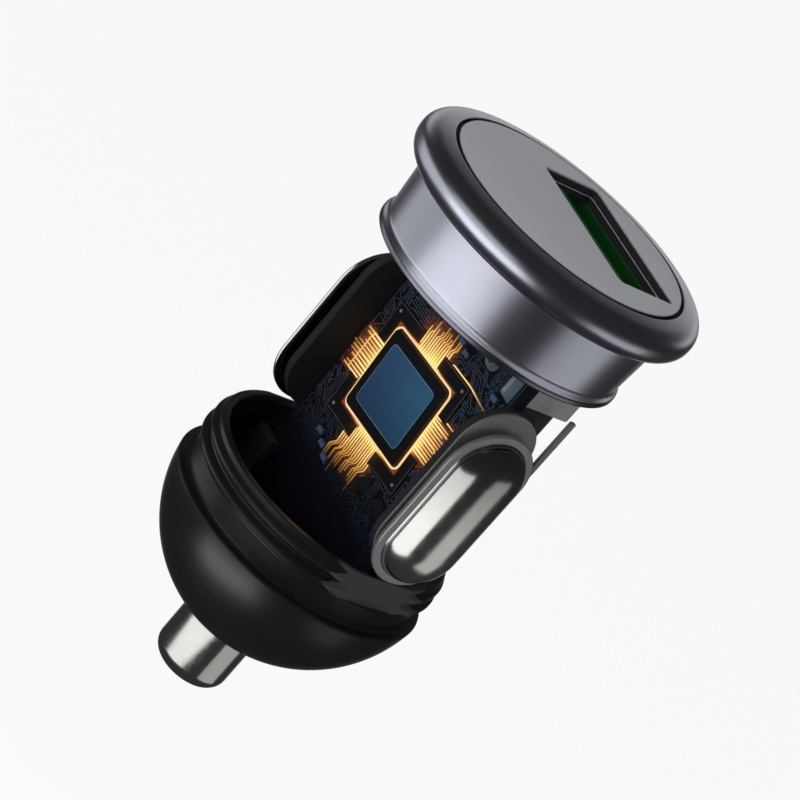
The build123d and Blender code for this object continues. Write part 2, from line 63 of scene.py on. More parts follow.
# A small car charger plug without the tube between its head and its nose.
# Sizes are millimetres along the plug's own axes and are turned into metres by MM.
MM = 0.001
BUMP_DEPTH = 0.02 * MM
WHITE = (1, 1, 1, 1)
ROUND_STEPS = 192
ARC_STEPS = 10
SLOT_STEPS = 32

# Head
FACE_TOP = 2.86
FACE_SEAT = 1.66
FACE_RADIUS = 9.638
FACE_REBATE = 0.26
RIM_RADIUS = 11.688
RIM_HEIGHT = 2.5
RIM_CROWN = 2.78
RIM_ROUND = 1.23
NECK_BORE = 9.118
NECK_TOP = 10.118
NECK_WAIST = 9.768
NECK_LIP = 10.088
NECK_DROPS = (4.3, 4.65, 5.1)
LIP_SEAM = -4.0
LEDGE_REACH = 0.7
LEDGE_THICKNESS = 0.8

# Port
PORT_X = 0.2
PORT_Y = 3.57
PORT_HOLE = (12.4, 5.45, 0.35)
PORT_FRAME = (12.34, 5.39, 0.32)
FRAME_WALL = 0.12
FRAME_TOP = 2.74
FRAME_STEP = 0.5
PORT_STEPS = 256

# Board and controller
BOARD_FRONT = -0.4
BOARD_HALF = 7.9
CHIP_X = -0.9
CHIP_Z = -15.1
CHIP_TURN = math.radians(5.6)
CHIP_SIZE = (7.9, 6.58)
CHIP_HEIGHT = 0.25
LID_SIZE = (6.3, 4.98)
LID_CORNER = 0.45
LID_HEIGHT = 0.08
RING_SIZE = (8.36, 7.04)
RING_CORNER = 0.6
RING_LINE = 0.13
RING_HEIGHT = 0.1
BLOCK_GAP = 0.15
BLOCK_ARM = 1.05
BLOCK_WIDTH = 3.9
BLOCK_LENGTH = 3.1
BLOCK_HEIGHT = 0.12
POST_INSET = 0.6
POST_RADIUS = 0.12
POST_HEIGHT = 0.06
RING_A, RING_B = RING_SIZE[0] / 2, RING_SIZE[1] / 2
BLOCK_FAR = (RING_A + BLOCK_GAP + BLOCK_ARM, RING_B + BLOCK_GAP + BLOCK_ARM)
BLOCK_NEAR = (BLOCK_FAR[0] - BLOCK_WIDTH, BLOCK_FAR[1] - BLOCK_LENGTH)

# Can behind the board
CAN_X = 3.2
CAN_Y = 3.55
CAN_RADIUS = 3.15
CAN_TOP = -8.34
CAN_BOTTOM = -19.34
CAN_GROOVE = (0.9, 1.6, 2.3)

# Solder and small parts on the front of the board: middle and half size of the patch left bare for each
SOLDER_SPOTS = (
    (-3.3, -7.34, 0.9, 0.9), (-0.8, -7.34, 0.9, 0.9), (1.2, -7.34, 0.9, 0.9), (3.7, -7.34, 0.9, 0.9),
    (-6.215, -6.94, 0.75, 1.4), (6.615, -6.94, 0.75, 1.4),
    (1.95, -20.84, 0.85, 0.85), (4.45, -20.84, 0.85, 0.85),
)
SMALL_PARTS = ((0.5, -8.5), (1.5, -8.8), (-4.4, -21.6), (-3.4, -22.0), (-2.4, -22.4), (6.2, -8.7))
SMALL_PATCH = (0.5, 0.35)

# Grid of the fine traces, and the warm haze round the controller
TRACE_PITCH = 0.21
TRACE_MARGIN = 0.25
TRACE_TOP = -4.9
TRACE_LENGTH = 20.0
TRACE_TONES = (((58, 62, 74), (84, 88, 98)), ((36, 60, 84), (52, 94, 118)))
WAYS = ((1, 0), (1, 1), (0, 1), (-1, 1), (-1, 0), (-1, -1), (0, -1), (1, -1))
HAZE_HALF_WIDTHS = (2.1, 1.75)
HAZE_REACH = 1.35
HAZE_RING_REACH = 0.16
HAZE_CUT = 0.07

# Side contacts
SIDES = ((1, "right"), (-1, "left"))
CONTACT_Z = -15.95
CONTACT_HALF_LENGTH = 6.85
CONTACT_HALF_WIDTH = 3.6
CONTACT_BACK = 9.3
CONTACT_SHEET = 0.4
CONTACT_CROWN = 11.35
CONTACT_BORDER = 0.65
HOLDER_HALF_LENGTH = 7.25
HOLDER_HALF_WIDTH = 3.3
HOLDER_RISE = 0.85
HOLDER_INNER = 7.93
HOLDER_OUTER = 8.48
STRIP_OUTER = 8.68
BOW_RISE = 2.177
BOW_HALF_WIDTH = 0.8
BOW_REACH = 4.6
BOW_SHEET = 0.2
BOW_STEPS = 48

# Nose
BALL_RADIUS = 10.5
BALL_CENTRE = -26.0
BALL_TOP = -27.1
COLLAR_RADIUS = 9.7
COLLAR_BORE = 9.05
COLLAR_TOP = -23.0
RINGS = ((-24.9, 10.12, 0.2), (-23.85, 10.02, 0.12))
RING_HALF = 0.14
RING_SLOPE = 0.28
INNER_BALL = 9.2
COLLAR_FLAT = 9.4
FLAT_BOTTOM = -25.32
PATCH_TOP = -22.45
PATCH_ANGLE = 0.33
PATCH_LEAN = 0.3
PATCH_TOOTH = 0.45
RAIL_TOP = COLLAR_TOP - 2.2
RAIL_FLOOR = BALL_CENTRE - 5.0
POCKET_RADIUS = 4.3
POCKET_FLOOR = -34.6
PIN_BORE = 2.95
PIN_RADIUS = 2.9
PIN_TIP = -41.0
PIN_FLANGE = 4.0
PIN_FLANGE_TOP = -33.6
PIN_HOLLOW = 2.1
PIN_HOLLOW_FLOOR = -39.5
TERMINAL_BOTTOM = -31.4
SPRING_RADIUS = 1.75
SPRING_WIRE = 0.4
SPRING_TURNS = 6


def srgb(red, green, blue):
    """Linear colour from 0 to 255 display values."""
    return tuple(((value / 255 + 0.055) / 1.055) ** 2.4 for value in (red, green, blue)) + (1.0,)


# Materials
class Nodes:
    """Nodes of the world or of a material, with short calls for the ones used here."""

    def __init__(self, tree):
        self.tree = tree

    def node(self, kind, inputs=(), **settings):
        made = self.tree.nodes.new(kind)
        for key, value in settings.items():
            setattr(made, key, value)
        for key, value in dict(inputs).items():
            self.put(made.inputs[key], value)
        return made

    def put(self, socket, value):
        if isinstance(value, bpy.types.NodeSocket):
            self.tree.links.new(value, socket)
        else:
            socket.default_value = value

    def maths(self, operation, first, second=0.0, third=0.0):
        made = self.node("ShaderNodeMath", operation=operation)
        for socket, value in zip(made.inputs, (first, second, third)):
            self.put(socket, value)
        return made.outputs[0]

    def product(self, first, *others):
        for other in others:
            first = self.maths("MULTIPLY", first, other)
        return first

    def spread(self, value, low, high, from_low=0.3, from_high=0.7):
        inputs = {"Value": value, "From Min": from_low, "From Max": from_high, "To Min": low, "To Max": high}
        return self.node("ShaderNodeMapRange", inputs).outputs["Result"]


class Shader(Nodes):
    """Nodes of a new material."""

    def __init__(self, name):
        self.material = bpy.data.materials.new(name)
        self.material.use_nodes = True
        super().__init__(self.material.node_tree)
        self.surface = self.tree.nodes["Principled BSDF"]
        self.place = self.node("ShaderNodeTexCoord").outputs["Object"]
        self.x, self.y, self.z = self.node("ShaderNodeSeparateXYZ", {"Vector": self.place}).outputs

    def noise(self, scale, detail=2.0, stretch=(1, 1, 1)):
        mapped = self.node("ShaderNodeMapping", {"Vector": self.place, "Scale": stretch})
        inputs = {"Vector": mapped.outputs[0], "Scale": scale, "Detail": detail}
        return self.node("ShaderNodeTexNoise", inputs).outputs["Fac"]

    def blend(self, factor, first, second, kind="MIX"):
        made = self.node("ShaderNodeMix", data_type="RGBA", blend_type=kind)
        for index, value in ((0, factor), (6, first), (7, second)):
            self.put(made.inputs[index], value)
        return made.outputs[2]

    def toned(self, colour, tone):
        """A colour made darker or lighter by a grey tone."""
        grey = self.node("ShaderNodeCombineColor", {0: tone, 1: tone, 2: tone}).outputs[0]
        return self.blend(1.0, colour, grey, "MULTIPLY")

    def set(self, **values):
        for key, value in values.items():
            self.put(self.surface.inputs[key.replace("_", " ")], value)

    def bump(self, height, strength):
        inputs = {"Height": height, "Strength": strength, "Distance": BUMP_DEPTH}
        self.set(Normal=self.node("ShaderNodeBump", inputs).outputs[0])

    def show(self, output):
        """Shows another node than the usual surface."""
        self.tree.links.new(output, self.tree.nodes["Material Output"].inputs["Surface"])


def finish(name, dark, light, rough, grain, metallic=0.0, bump=0.0, stretch=(1, 1, 1), ior=1.5):
    """Procedural finish: its colour and roughness vary a little over a grain, given per metre."""
    shader = Shader(name)
    cloud = shader.noise(grain, 3.0, stretch)
    fine = shader.noise(grain * 6, 2.0, stretch)
    shader.set(
        Base_Color=shader.blend(cloud, srgb(*dark), srgb(*light)),
        Roughness=shader.spread(fine, *rough),
        Metallic=metallic,
        IOR=ior,
    )
    if bump:
        shader.bump(fine, bump)
    return shader.material


def along_axis(name, lower, upper, low, high, rough, metallic):
    """Material whose colour goes from one to another between two heights along the plug (mm); used for
    painted reflections and painted shade.
    """
    shader = Shader(name)
    rise = shader.spread(shader.z, 0.0, 1.0, low * MM, high * MM)
    grain = shader.noise(1200, 3.0)
    colour = shader.blend(rise, srgb(*lower), srgb(*upper))
    shader.set(
        Base_Color=shader.toned(colour, shader.spread(grain, 0.98, 1.02)),
        Roughness=shader.spread(grain, *rough),
        Metallic=metallic,
    )
    return shader.material


def cap_material():
    """Black moulding, made lighter inside the collar's bore by painted light, with a duller patch over the
    flats that is ragged at its ends.
    """
    shader = Shader("cap_black")
    maths = shader.maths
    angle = maths("ARCTAN2", maths("ABSOLUTE", shader.y), maths("ABSOLUTE", shader.x))
    tooth = maths("PINGPONG", maths("DIVIDE", shader.z, MM), PATCH_TOOTH)
    square = maths("MULTIPLY", shader.x, shader.x)
    radius = maths("SQRT", maths("MULTIPLY_ADD", shader.y, shader.y, square))
    patch = shader.product(
        maths("LESS_THAN", angle, maths("MULTIPLY_ADD", tooth, PATCH_LEAN, PATCH_ANGLE)),
        maths("GREATER_THAN", shader.z, FLAT_BOTTOM * MM),
        maths("LESS_THAN", shader.z, PATCH_TOP * MM),
        maths("GREATER_THAN", radius, (COLLAR_BORE + 0.3) * MM),
    )
    # Painted light: the inside of the collar, which light hardly reaches, is made a lighter grey.
    inside = shader.product(
        maths("LESS_THAN", radius, (COLLAR_BORE + 0.02) * MM),
        maths("GREATER_THAN", shader.z, RAIL_FLOOR * MM),
    )
    black = shader.blend(shader.noise(1200, 3.0), srgb(15, 14, 15), srgb(20, 19, 20))
    black = shader.blend(inside, black, srgb(48, 47, 49))
    shader.set(
        Base_Color=shader.blend(patch, black, srgb(46, 46, 49)),
        Roughness=shader.spread(patch, 0.33, 0.85),
    )
    return shader.material


gunmetal = finish("gunmetal", (174, 176, 188), (180, 182, 194), (0.29, 0.31), 120, 1.0)
# Darker copy of the gunmetal: painted shade that dims the highlight on the neck's lip.
lip_grey = finish("lip_grey", (112, 114, 124), (120, 122, 132), (0.29, 0.31), 120, 1.0)
face_grey = finish("face_grey", (130, 131, 135), (139, 140, 144), (0.55, 0.68), 5200, 0.0, 0.25)
black_gloss = finish("black_gloss", (36, 36, 38), (42, 42, 44), (0.46, 0.54), 1500, ior=1.14)
black_matte = finish("black_matte", (24, 24, 26), (34, 34, 37), (0.6, 0.75), 2200, 0.0, 0.12)
cap_black = cap_material()
chrome = finish("chrome", (212, 212, 208), (222, 222, 218), (0.13, 0.18), 700, 1.0)
flange_steel = finish("flange_steel", (140, 141, 144), (156, 157, 160), (0.32, 0.4), 2500, 0.75, 0.05)
steel = finish("steel", (106, 106, 103), (124, 124, 121), (0.4, 0.5), 1800, 0.35, 0.05, (1, 1, 0.2))
flange_dark = finish("flange_dark", (200, 201, 203), (212, 213, 215), (0.2, 0.26), 2500, 1.0)
spring_steel = finish("spring_steel", (150, 150, 152), (180, 180, 182), (0.25, 0.35), 3000, 1.0)
# Side contact domes: chrome whose colour darkens towards the top, a painted fade of the domes' reflection.
dome_chrome = along_axis("dome_chrome", (222, 222, 217), (140, 140, 138), -17.0, -9.5, (0.15, 0.2), 1.0)
# USB shell: steel below the neck's lip; above it, a painted dark green shade on the inside walls that show
# through the port.
shell_steel = along_axis("shell_steel", (150, 150, 147), (20, 70, 27), -4.6, -3.9, (0.38, 0.48), 0.3)
# Solder and leads: pale above and dark below, the dark lower joints being a painted dark reflection.
solder_metal = along_axis("solder_metal", (34, 36, 40), (98, 117, 133), -14.0, -12.0, (0.3, 0.42), 0.3)
brass = finish("brass", (196, 158, 90), (222, 186, 118), (0.25, 0.38), 2200, 1.0)
collar_flat = finish("collar_flat", (44, 44, 46), (52, 52, 55), (0.7, 0.8), 1500, 0.0, 0.05)
port_green = finish("port_green", (8, 54, 16), (12, 66, 23), (0.5, 0.6), 1500, 0.0, 0.06, ior=1.3)
# Pale line inside the port's edge: a painted edge highlight.
edge_line = finish("edge_line", (150, 152, 156), (172, 174, 178), (0.3, 0.4), 3000, 0.2)
pad_metal = finish("pad_metal", (112, 118, 124), (136, 142, 148), (0.35, 0.45), 3000, 0.2)
seam_grey = finish("seam_grey", (62, 64, 68), (84, 87, 92), (0.45, 0.55), 3000)
# Pale bluish line round the lid's edge: a painted edge highlight.
lid_line = finish("lid_line", (84, 118, 140), (118, 154, 170), (0.35, 0.45), 900)
ceramic = finish("ceramic", (46, 62, 84), (70, 92, 118), (0.35, 0.5), 4000)
can_black = finish("can_black", (58, 58, 60), (76, 76, 78), (0.3, 0.42), 1500, 0.6, 0.05, (1, 1, 0.15))


# Mesh helpers
def rounded(corners):
    """Points of a path of (x, y) corners, each with a third value where it is rounded."""
    points = []
    count = len(corners)
    for index, (x, y, *ease) in enumerate(corners):
        corner = Vector((x, y))
        if not ease:
            points.append(corner)
            continue
        before = (Vector(corners[index - 1][:2]) - corner).normalized()
        after = (Vector(corners[(index + 1) % count][:2]) - corner).normalized()
        half = math.acos(max(-1, min(1, before.dot(after)))) / 2
        centre = corner + (before + after).normalized() * ease[0] / math.sin(half)
        first = corner + before * ease[0] / math.tan(half) - centre
        last = corner + after * ease[0] / math.tan(half) - centre
        turn = first.angle_signed(last)
        for step in range(ARC_STEPS + 1):
            bend = Matrix.Rotation(-turn * step / ARC_STEPS, 2)
            points.append(centre + bend @ first)
    return points


def rounded_box(size, corner):
    """Points of a rectangle with rounded corners, centred on the origin."""
    x, y = size[0] / 2, size[1] / 2
    return rounded([(x, -y, corner), (x, y, corner), (-x, y, corner), (-x, -y, corner)])


def slot_points(half_length, half_width):
    """Points of a round-ended slot, long along its first axis."""
    points = []
    for end in (0, 1):
        for step in range(SLOT_STEPS + 1):
            angle = math.pi * (step / SLOT_STEPS + end) - math.pi / 2
            shift = (half_length - half_width) * (1 - 2 * end)
            points.append((shift + half_width * math.cos(angle), half_width * math.sin(angle)))
    return points


def add_item(name, data):
    """New object in the scene."""
    item = bpy.data.objects.new(name, data)
    bpy.context.scene.collection.objects.link(item)
    return item


def build(name, vertices, faces, material, sharp=35):
    """Mesh object from vertices in millimetres, smooth apart from its sharp edges."""
    mesh = bpy.data.meshes.new(name)
    mesh.from_pydata([Vector(vertex) * MM for vertex in vertices], [], faces)
    work = bmesh.new()
    work.from_mesh(mesh)
    bmesh.ops.remove_doubles(work, verts=work.verts, dist=1e-7)
    bmesh.ops.recalc_face_normals(work, faces=work.faces)
    work.to_mesh(mesh)
    work.free()
    mesh.materials.append(material)
    mesh.shade_smooth()
    mesh.set_sharp_from_angle(angle=math.radians(sharp))
    return add_item(name, mesh)


def circle(centre, radius, steps):
    """Points of a circle."""
    turns = [math.tau * step / steps for step in range(steps)]
    return [(centre[0] + radius * math.cos(turn), centre[1] + radius * math.sin(turn)) for turn in turns]


def loops_to_faces(loops, caps=False):
    """Vertices and faces of a skin over closed loops that have as many points each, capped or open."""
    vertices = [point for loop in loops for point in loop]
    size = len(loops[0])
    faces = []
    for start in range(0, len(vertices) - size, size):
        for index in range(size):
            after = (index + 1) % size
            faces.append((start + index, start + after, start + size + after, start + size + index))
    if caps:
        faces.append(tuple(range(size)))
        faces.append(tuple(range(len(vertices) - size, len(vertices))))
    return vertices, faces


def add_skin(loops, vertices, faces):
    """Adds a capped skin over closed loops to a list of vertices and faces."""
    start = len(vertices)
    points, skin = loops_to_faces(loops, True)
    vertices.extend(points)
    faces.extend(tuple(start + index for index in face) for face in skin)


def lathe(name, corners, material, centre=(0, 0), steps=ROUND_STEPS, sharp=35):
    """Closed body turned about Z from (radius, z, rounding) corners."""
    profile = rounded(corners)
    profile.append(profile[0])
    loops = [[(x, y, z) for x, y in circle(centre, radius, steps)] for radius, z in profile]
    return build(name, *loops_to_faces(loops), material, sharp)


def tube(name, profile, outline, material, sharp=35):
    """Closed band round an outline, with a section of (margin, height) points."""
    loops = [outline(*point) for point in (*profile, profile[0])]
    return build(name, *loops_to_faces(loops), material, sharp)


def bevel(piece, width, segments=3):
    """Rounds the sharp edges of a piece by a width in millimetres."""
    modifier = piece.modifiers.new("edges", "BEVEL")
    modifier.width = width * MM
    modifier.segments = segments
    modifier.limit_method = "ANGLE"
    modifier.angle_limit = math.radians(40)
    modifier.harden_normals = True
    return piece


def prism(name, points, place, depth, material, edge):
    """Plate with a flat outline: place turns (a, b, c) into (x, y, z) and c runs over the depth."""
    loops = [[place(a, b, c) for a, b in points] for c in depth]
    return bevel(build(name, *loops_to_faces(loops, True), material), edge)


def on_board(a, b, c):
    """A point of a drawing on the front of the board, c above it."""
    return (a, BOARD_FRONT - c, b)


def chip_point(a, b):
    """Board place of a point that is measured from the middle of the controller, along its edges."""
    across, along = math.cos(CHIP_TURN), math.sin(CHIP_TURN)
    return (CHIP_X + a * across - b * along, CHIP_Z + a * along + b * across)


def at_chip(a, b, c):
    """A point of a drawing round the middle of the controller, c above the board."""
    return on_board(*chip_point(a, b), c)


def chip_share(x, z):
    """The inverse of chip_point: a board place as measured from the middle of the controller."""
    across, along = math.cos(CHIP_TURN), math.sin(CHIP_TURN)
    x, z = x - CHIP_X, z - CHIP_Z
    return (x * across + z * along, z * across - x * along)


def place_piece(piece, body, slot, *nodes):
    """Gives a piece its body and hides the nodes that it stands for; its slot is not used."""
    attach(piece, body)
    if nodes:
        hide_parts(*nodes)


# Head
def hole_ring(size, grow, z):
    """Outline round the port, grown by a margin, its points at even angles as seen from the axis."""
    half_x, half_y, corner = size[0] / 2 + grow, size[1] / 2 + grow, size[2] + grow
    ring = []
    for ray_x, ray_y in circle((0, 0), 1, PORT_STEPS):
        low, high = 0.0, half_x + half_y
        for _ in range(40):
            reach = (low + high) / 2
            past_x = max(abs(ray_x * reach) - half_x + corner, 0)
            past_y = max(abs(ray_y * reach) - half_y + corner, 0)
            inside = math.hypot(past_x, past_y) < corner
            low, high = (reach, high) if inside else (low, reach)
        ring.append((PORT_X + ray_x * low, PORT_Y + ray_y * low, z))
    return ring


def circle_ring(ring, radius, z):
    """Points of a circle about the axis, each in line with the same point of a port ring."""
    points = []
    for x, y, _ in ring:
        ray = Vector((x - PORT_X, y - PORT_Y)).normalized()
        along = PORT_X * ray.x + PORT_Y * ray.y
        reach = -along + math.sqrt(along**2 + radius**2 - PORT_X**2 - PORT_Y**2)
        points.append((PORT_X + ray.x * reach, PORT_Y + ray.y * reach, z))
    return points


def paint(item, material, inner, outer, low, high):
    """Gives another material to the faces between two radii and two heights (mm); here it paints shade."""
    item.data.materials.append(material)
    for face in item.data.polygons:
        middle = face.center / MM
        if inner < math.hypot(middle.x, middle.y) < outer and low < middle.z < high:
            face.material_index = len(item.data.materials) - 1


def make_bezel():
    """Rim and neck, and the neck's lip as a piece of its own, so that it takes light of its own."""
    wall = FACE_RADIUS + 0.03
    ledge, ledge_bottom = NECK_BORE - LEDGE_REACH, FACE_SEAT - LEDGE_THICKNESS
    waist, lip_top, end = (-drop for drop in NECK_DROPS)
    seam_radius = NECK_TOP + (NECK_WAIST - NECK_TOP) * LIP_SEAM / waist
    rim = [
        (ledge, FACE_SEAT),
        (wall, FACE_SEAT),
        (wall, RIM_CROWN, 0.08),
        (RIM_RADIUS, RIM_HEIGHT, RIM_ROUND),
        (RIM_RADIUS, 0, RIM_ROUND),
        (NECK_TOP, 0, 0.12),
        (seam_radius, LIP_SEAM),
        (NECK_BORE, LIP_SEAM),
        (NECK_BORE, ledge_bottom),
        (ledge, ledge_bottom),
    ]
    bezel = lathe("bezel_shell", rim, gunmetal, sharp=50)
    # The rim's inner wall by the face is painted black: painted shade in the groove round the face.
    paint(bezel, black_matte, FACE_RADIUS - 1.0, FACE_RADIUS + 0.1, FACE_SEAT - 0.1, RIM_CROWN - 0.05)
    place_piece(bezel, "charger", "bezel", "bezel")
    flare = [
        (NECK_BORE, LIP_SEAM),
        (seam_radius, LIP_SEAM),
        (NECK_WAIST, waist, 0.5),
        (NECK_LIP, lip_top, 0.4),
        (NECK_LIP, end, 0.16),
        (NECK_BORE, end, 0.1),
    ]
    lip = lathe("neck_lip", flare, gunmetal, sharp=50)
    # The lip's outer face takes the darker copy of the gunmetal, as painted shade that dims its highlight.
    paint(lip, lip_grey, NECK_LIP - 0.04, NECK_LIP + 0.1, end - 0.1, lip_top + 0.05)
    place_piece(lip, "charger", "bezel", "bezel")


def make_face():
    """Face plate with the port's opening; its edge is set down where it meets the rim."""
    inner, ease = FACE_RADIUS - FACE_REBATE, 0.07
    base = hole_ring(PORT_HOLE, 0, FACE_SEAT)
    loops = [base]
    for grow, drop in ((0, ease), (ease * 0.3, ease * 0.3), (ease, 0)):
        loops.append(hole_ring(PORT_HOLE, grow, FACE_TOP - drop))
    edge = ((inner - 0.1, 0), (inner - 0.03, 0.03), (inner, 0.1), (inner, 0.4), (FACE_RADIUS, 0.4))
    loops += [circle_ring(base, radius, FACE_TOP - drop) for radius, drop in edge]
    loops += [circle_ring(base, FACE_RADIUS, FACE_SEAT), base]
    plate = build("face_disc", *loops_to_faces(loops), face_grey, 40)
    # The set-down edge of the face is painted black: painted shade in the groove next to the rim.
    paint(plate, black_matte, inner - 0.01, FACE_RADIUS + 0.1, FACE_SEAT - 0.1, FACE_TOP - 0.04)
    place_piece(plate, "charger", "face", "face_plate")


def make_port_edge():
    """Black edge of the port, and a pale line at the step inside it, a painted edge highlight."""
    outline = lambda inset, z: hole_ring(PORT_FRAME, -inset, z)
    wall, ease, step = FRAME_WALL, 0.03, FRAME_TOP - FRAME_STEP
    edge = (
        (0, FACE_SEAT),
        (0, FRAME_TOP - ease),
        (ease, FRAME_TOP),
        (wall - ease, FRAME_TOP),
        (wall, FRAME_TOP - ease),
        (wall, FACE_SEAT),
    )
    line = ((wall - 0.01, step), (wall + 0.05, step), (wall + 0.05, step - 0.05), (wall - 0.01, step - 0.05))
    place_piece(tube("port_edge", edge, outline, black_gloss, 40), "charger", "port_frame", "port_frame")
    place_piece(tube("port_step", line, outline, edge_line, 40), "charger", "port_frame")


# Nose
def ball_arc(radius, start, end, steps):
    """Section of a ball round the nose's middle, between two angles from its lowest point."""
    turns = [start + (end - start) * step / steps for step in range(steps + 1)]
    return [(radius * math.sin(turn), BALL_CENTRE - radius * math.cos(turn)) for turn in turns]


def make_nose():
    drop = BALL_CENTRE - BALL_TOP
    start = math.asin(PIN_BORE / BALL_RADIUS) + 0.03
    end = math.acos(drop / BALL_RADIUS) - 0.02
    corners = [(PIN_BORE, BALL_CENTRE - math.sqrt(BALL_RADIUS**2 - PIN_BORE**2), 0.12)]
    corners += ball_arc(BALL_RADIUS, start, end, 48)
    corners += [(math.sqrt(BALL_RADIUS**2 - drop**2), BALL_TOP, 0.15), (COLLAR_RADIUS, BALL_TOP, 0.25)]
    foot = RING_HALF + RING_SLOPE
    for z, radius, ease in RINGS:
        corners += [
            (COLLAR_RADIUS, z - foot, ease),
            (radius, z - RING_HALF, 0.12),
            (radius, z + RING_HALF, 0.12),
            (COLLAR_RADIUS, z + foot, 0.12),
        ]
    corners += [(COLLAR_RADIUS, COLLAR_TOP, 0.1), (COLLAR_BORE, COLLAR_TOP, 0.12)]
    corners.append((INNER_BALL, BALL_CENTRE, 2.0))
    corners += ball_arc(INNER_BALL, math.pi / 2, math.asin(POCKET_RADIUS / INNER_BALL), 24)[1:]
    corners += [(POCKET_RADIUS, POCKET_FLOOR), (PIN_BORE, POCKET_FLOOR)]
    cap = lathe("nose_shell", corners, cap_black, steps=512, sharp=40)
    flatten_collar(cap)
    place_piece(cap, "charger", "cap", "nose_cap")


def flatten_collar(cap):
    """Cuts the two flats across the collar's rings and gives them their duller moulded finish."""
    limit, low = COLLAR_FLAT * MM, (FLAT_BOTTOM - 0.001) * MM
    mesh = cap.data
    cut = set()
    for vertex in mesh.vertices:
        outside = math.hypot(vertex.co.x, vertex.co.y) > (COLLAR_BORE + 0.2) * MM
        if vertex.co.z > low and outside and abs(vertex.co.x) > limit:
            vertex.co.x = math.copysign(limit, vertex.co.x)
            cut.add(vertex.index)
    mesh.materials.append(collar_flat)
    sharp = mesh.attributes.get("sharp_edge") or mesh.attributes.new("sharp_edge", "BOOLEAN", "EDGE")
    flat_edges = {}
    for face in mesh.polygons:
        flat = all(index in cut for index in face.vertices)
        if flat:
            face.material_index = 1
        for key in face.edge_keys:
            flat_edges.setdefault(key, set()).add(flat)
    for edge in mesh.edges:
        if len(flat_edges[edge.key]) == 2:
            sharp.data[edge.index].value = True


def make_pin():
    corners = [
        (0, PIN_TIP),
        (PIN_RADIUS, PIN_TIP, 1.2),
        (PIN_RADIUS, POCKET_FLOOR),
        (PIN_FLANGE, POCKET_FLOOR, 0.08),
        (PIN_FLANGE, PIN_FLANGE_TOP, 0.08),
        (PIN_HOLLOW, PIN_FLANGE_TOP, 0.08),
        (PIN_HOLLOW, PIN_HOLLOW_FLOOR, 0.3),
        (0, PIN_HOLLOW_FLOOR),
    ]
    place_piece(lathe("pin_body", corners, chrome, steps=128), "pin", "contact", "centre_pin")


def make_pin_spring():
    low, high = PIN_HOLLOW_FLOOR, TERMINAL_BOTTOM
    rise = high - low - SPRING_WIRE
    rounds = SPRING_TURNS * 40
    loops = []
    for step in range(rounds + 1):
        share = step / rounds
        angle = math.tau * SPRING_TURNS * share
        outward = Vector((math.cos(angle), math.sin(angle), 0))
        middle = outward * SPRING_RADIUS + Vector((0, 0, low + SPRING_WIRE / 2 + rise * share))
        wire = circle((0, 0), SPRING_WIRE / 2, 12)
        loops.append([middle + outward * out + Vector((0, 0, up)) for out, up in wire])
    coil = build("pin_coil", *loops_to_faces(loops, True), spring_steel, 60)
    place_piece(coil, "charger", "spring", "pin_spring")
    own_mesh(coil)


# Side contacts
def side_place(side, rise=0):
    """Turns (along Z, across, outward), measured from a side contact's middle, into a point."""
    return lambda a, b, c: (side * c, b, a + CONTACT_Z + rise)


def make_contact(side, word):
    """Domed plate of one side contact, and the inside of its dome."""
    place = side_place(side)
    back, front, ease = CONTACT_BACK, CONTACT_BACK + CONTACT_SHEET, 0.1
    outer = (CONTACT_HALF_LENGTH, CONTACT_HALF_WIDTH)
    dome = [half - CONTACT_BORDER for half in outer]
    hollow = [half - CONTACT_SHEET for half in dome]

    def loop(size, inset, x):
        half_width = max(size[1] - inset, 0.002)
        half_length = size[0] - size[1] + half_width
        return [place(a, b, x) for a, b in slot_points(half_length, half_width)]

    def arch(size, start, crown):
        rows = []
        for step in range(25):
            turn = math.pi / 2 * step / 24
            rows.append(loop(size, size[1] * (1 - math.cos(turn)), start + (crown - start) * math.sin(turn)))
        return rows

    levels = (
        (hollow, 0, back),
        (outer, ease, back),
        (outer, ease * 0.3, back + ease * 0.3),
        (outer, 0, back + ease),
        (outer, 0, front - ease),
        (outer, ease * 0.3, front - ease * 0.3),
        (outer, ease, front),
        (dome, -0.1, front),
        (dome, -0.03, front + 0.03),
    )
    loops = [loop(*level) for level in levels] + arch(dome, front + 0.1, CONTACT_CROWN)
    shell = build(f"contact_plate_{word}", *loops_to_faces(loops), dome_chrome, 45)
    border = flange_steel if side > 0 else flange_dark
    loops = arch(hollow, back, CONTACT_CROWN - CONTACT_SHEET)[::-1]
    lining = build(f"contact_inside_{word}", *loops_to_faces(loops), border, 60)
    shell.data.materials.append(border)
    for face in shell.data.polygons:
        if abs(face.center.x) < (front + 0.001) * MM:
            face.material_index = 1
    for piece in (shell, lining):
        place_piece(piece, f"contact_{word}", "contact", f"side_contact_{word}")


def make_holder(side, word):
    """Black plate behind one side contact."""
    outline = slot_points(HOLDER_HALF_LENGTH, HOLDER_HALF_WIDTH)
    depth = (HOLDER_INNER, HOLDER_OUTER)
    holder = prism(f"holder_plate_{word}", outline, side_place(side, HOLDER_RISE), depth, black_gloss, 0.12)
    place_piece(holder, "charger", "holder", f"holder_{word}")


def make_leaf(side, word):
    """Bowed leaf spring that presses one side contact outwards."""
    place = side_place(side)
    loops = []
    for step in range(BOW_STEPS + 1):
        share = 2 * step / BOW_STEPS - 1
        x = STRIP_OUTER + (BOW_RISE - BOW_SHEET) * (1 - share**2)
        loops.append([
            place(share * BOW_REACH, across * BOW_HALF_WIDTH, x + out * BOW_SHEET)
            for across, out in ((-1, 0), (1, 0), (1, 1), (-1, 1))
        ])
    leaf = build(f"side_leaf_{word}", *loops_to_faces(loops, True), spring_steel)
    bevel(leaf, 0.03, 2)
    place_piece(leaf, "charger", "spring", f"side_spring_{word}")
    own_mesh(leaf)


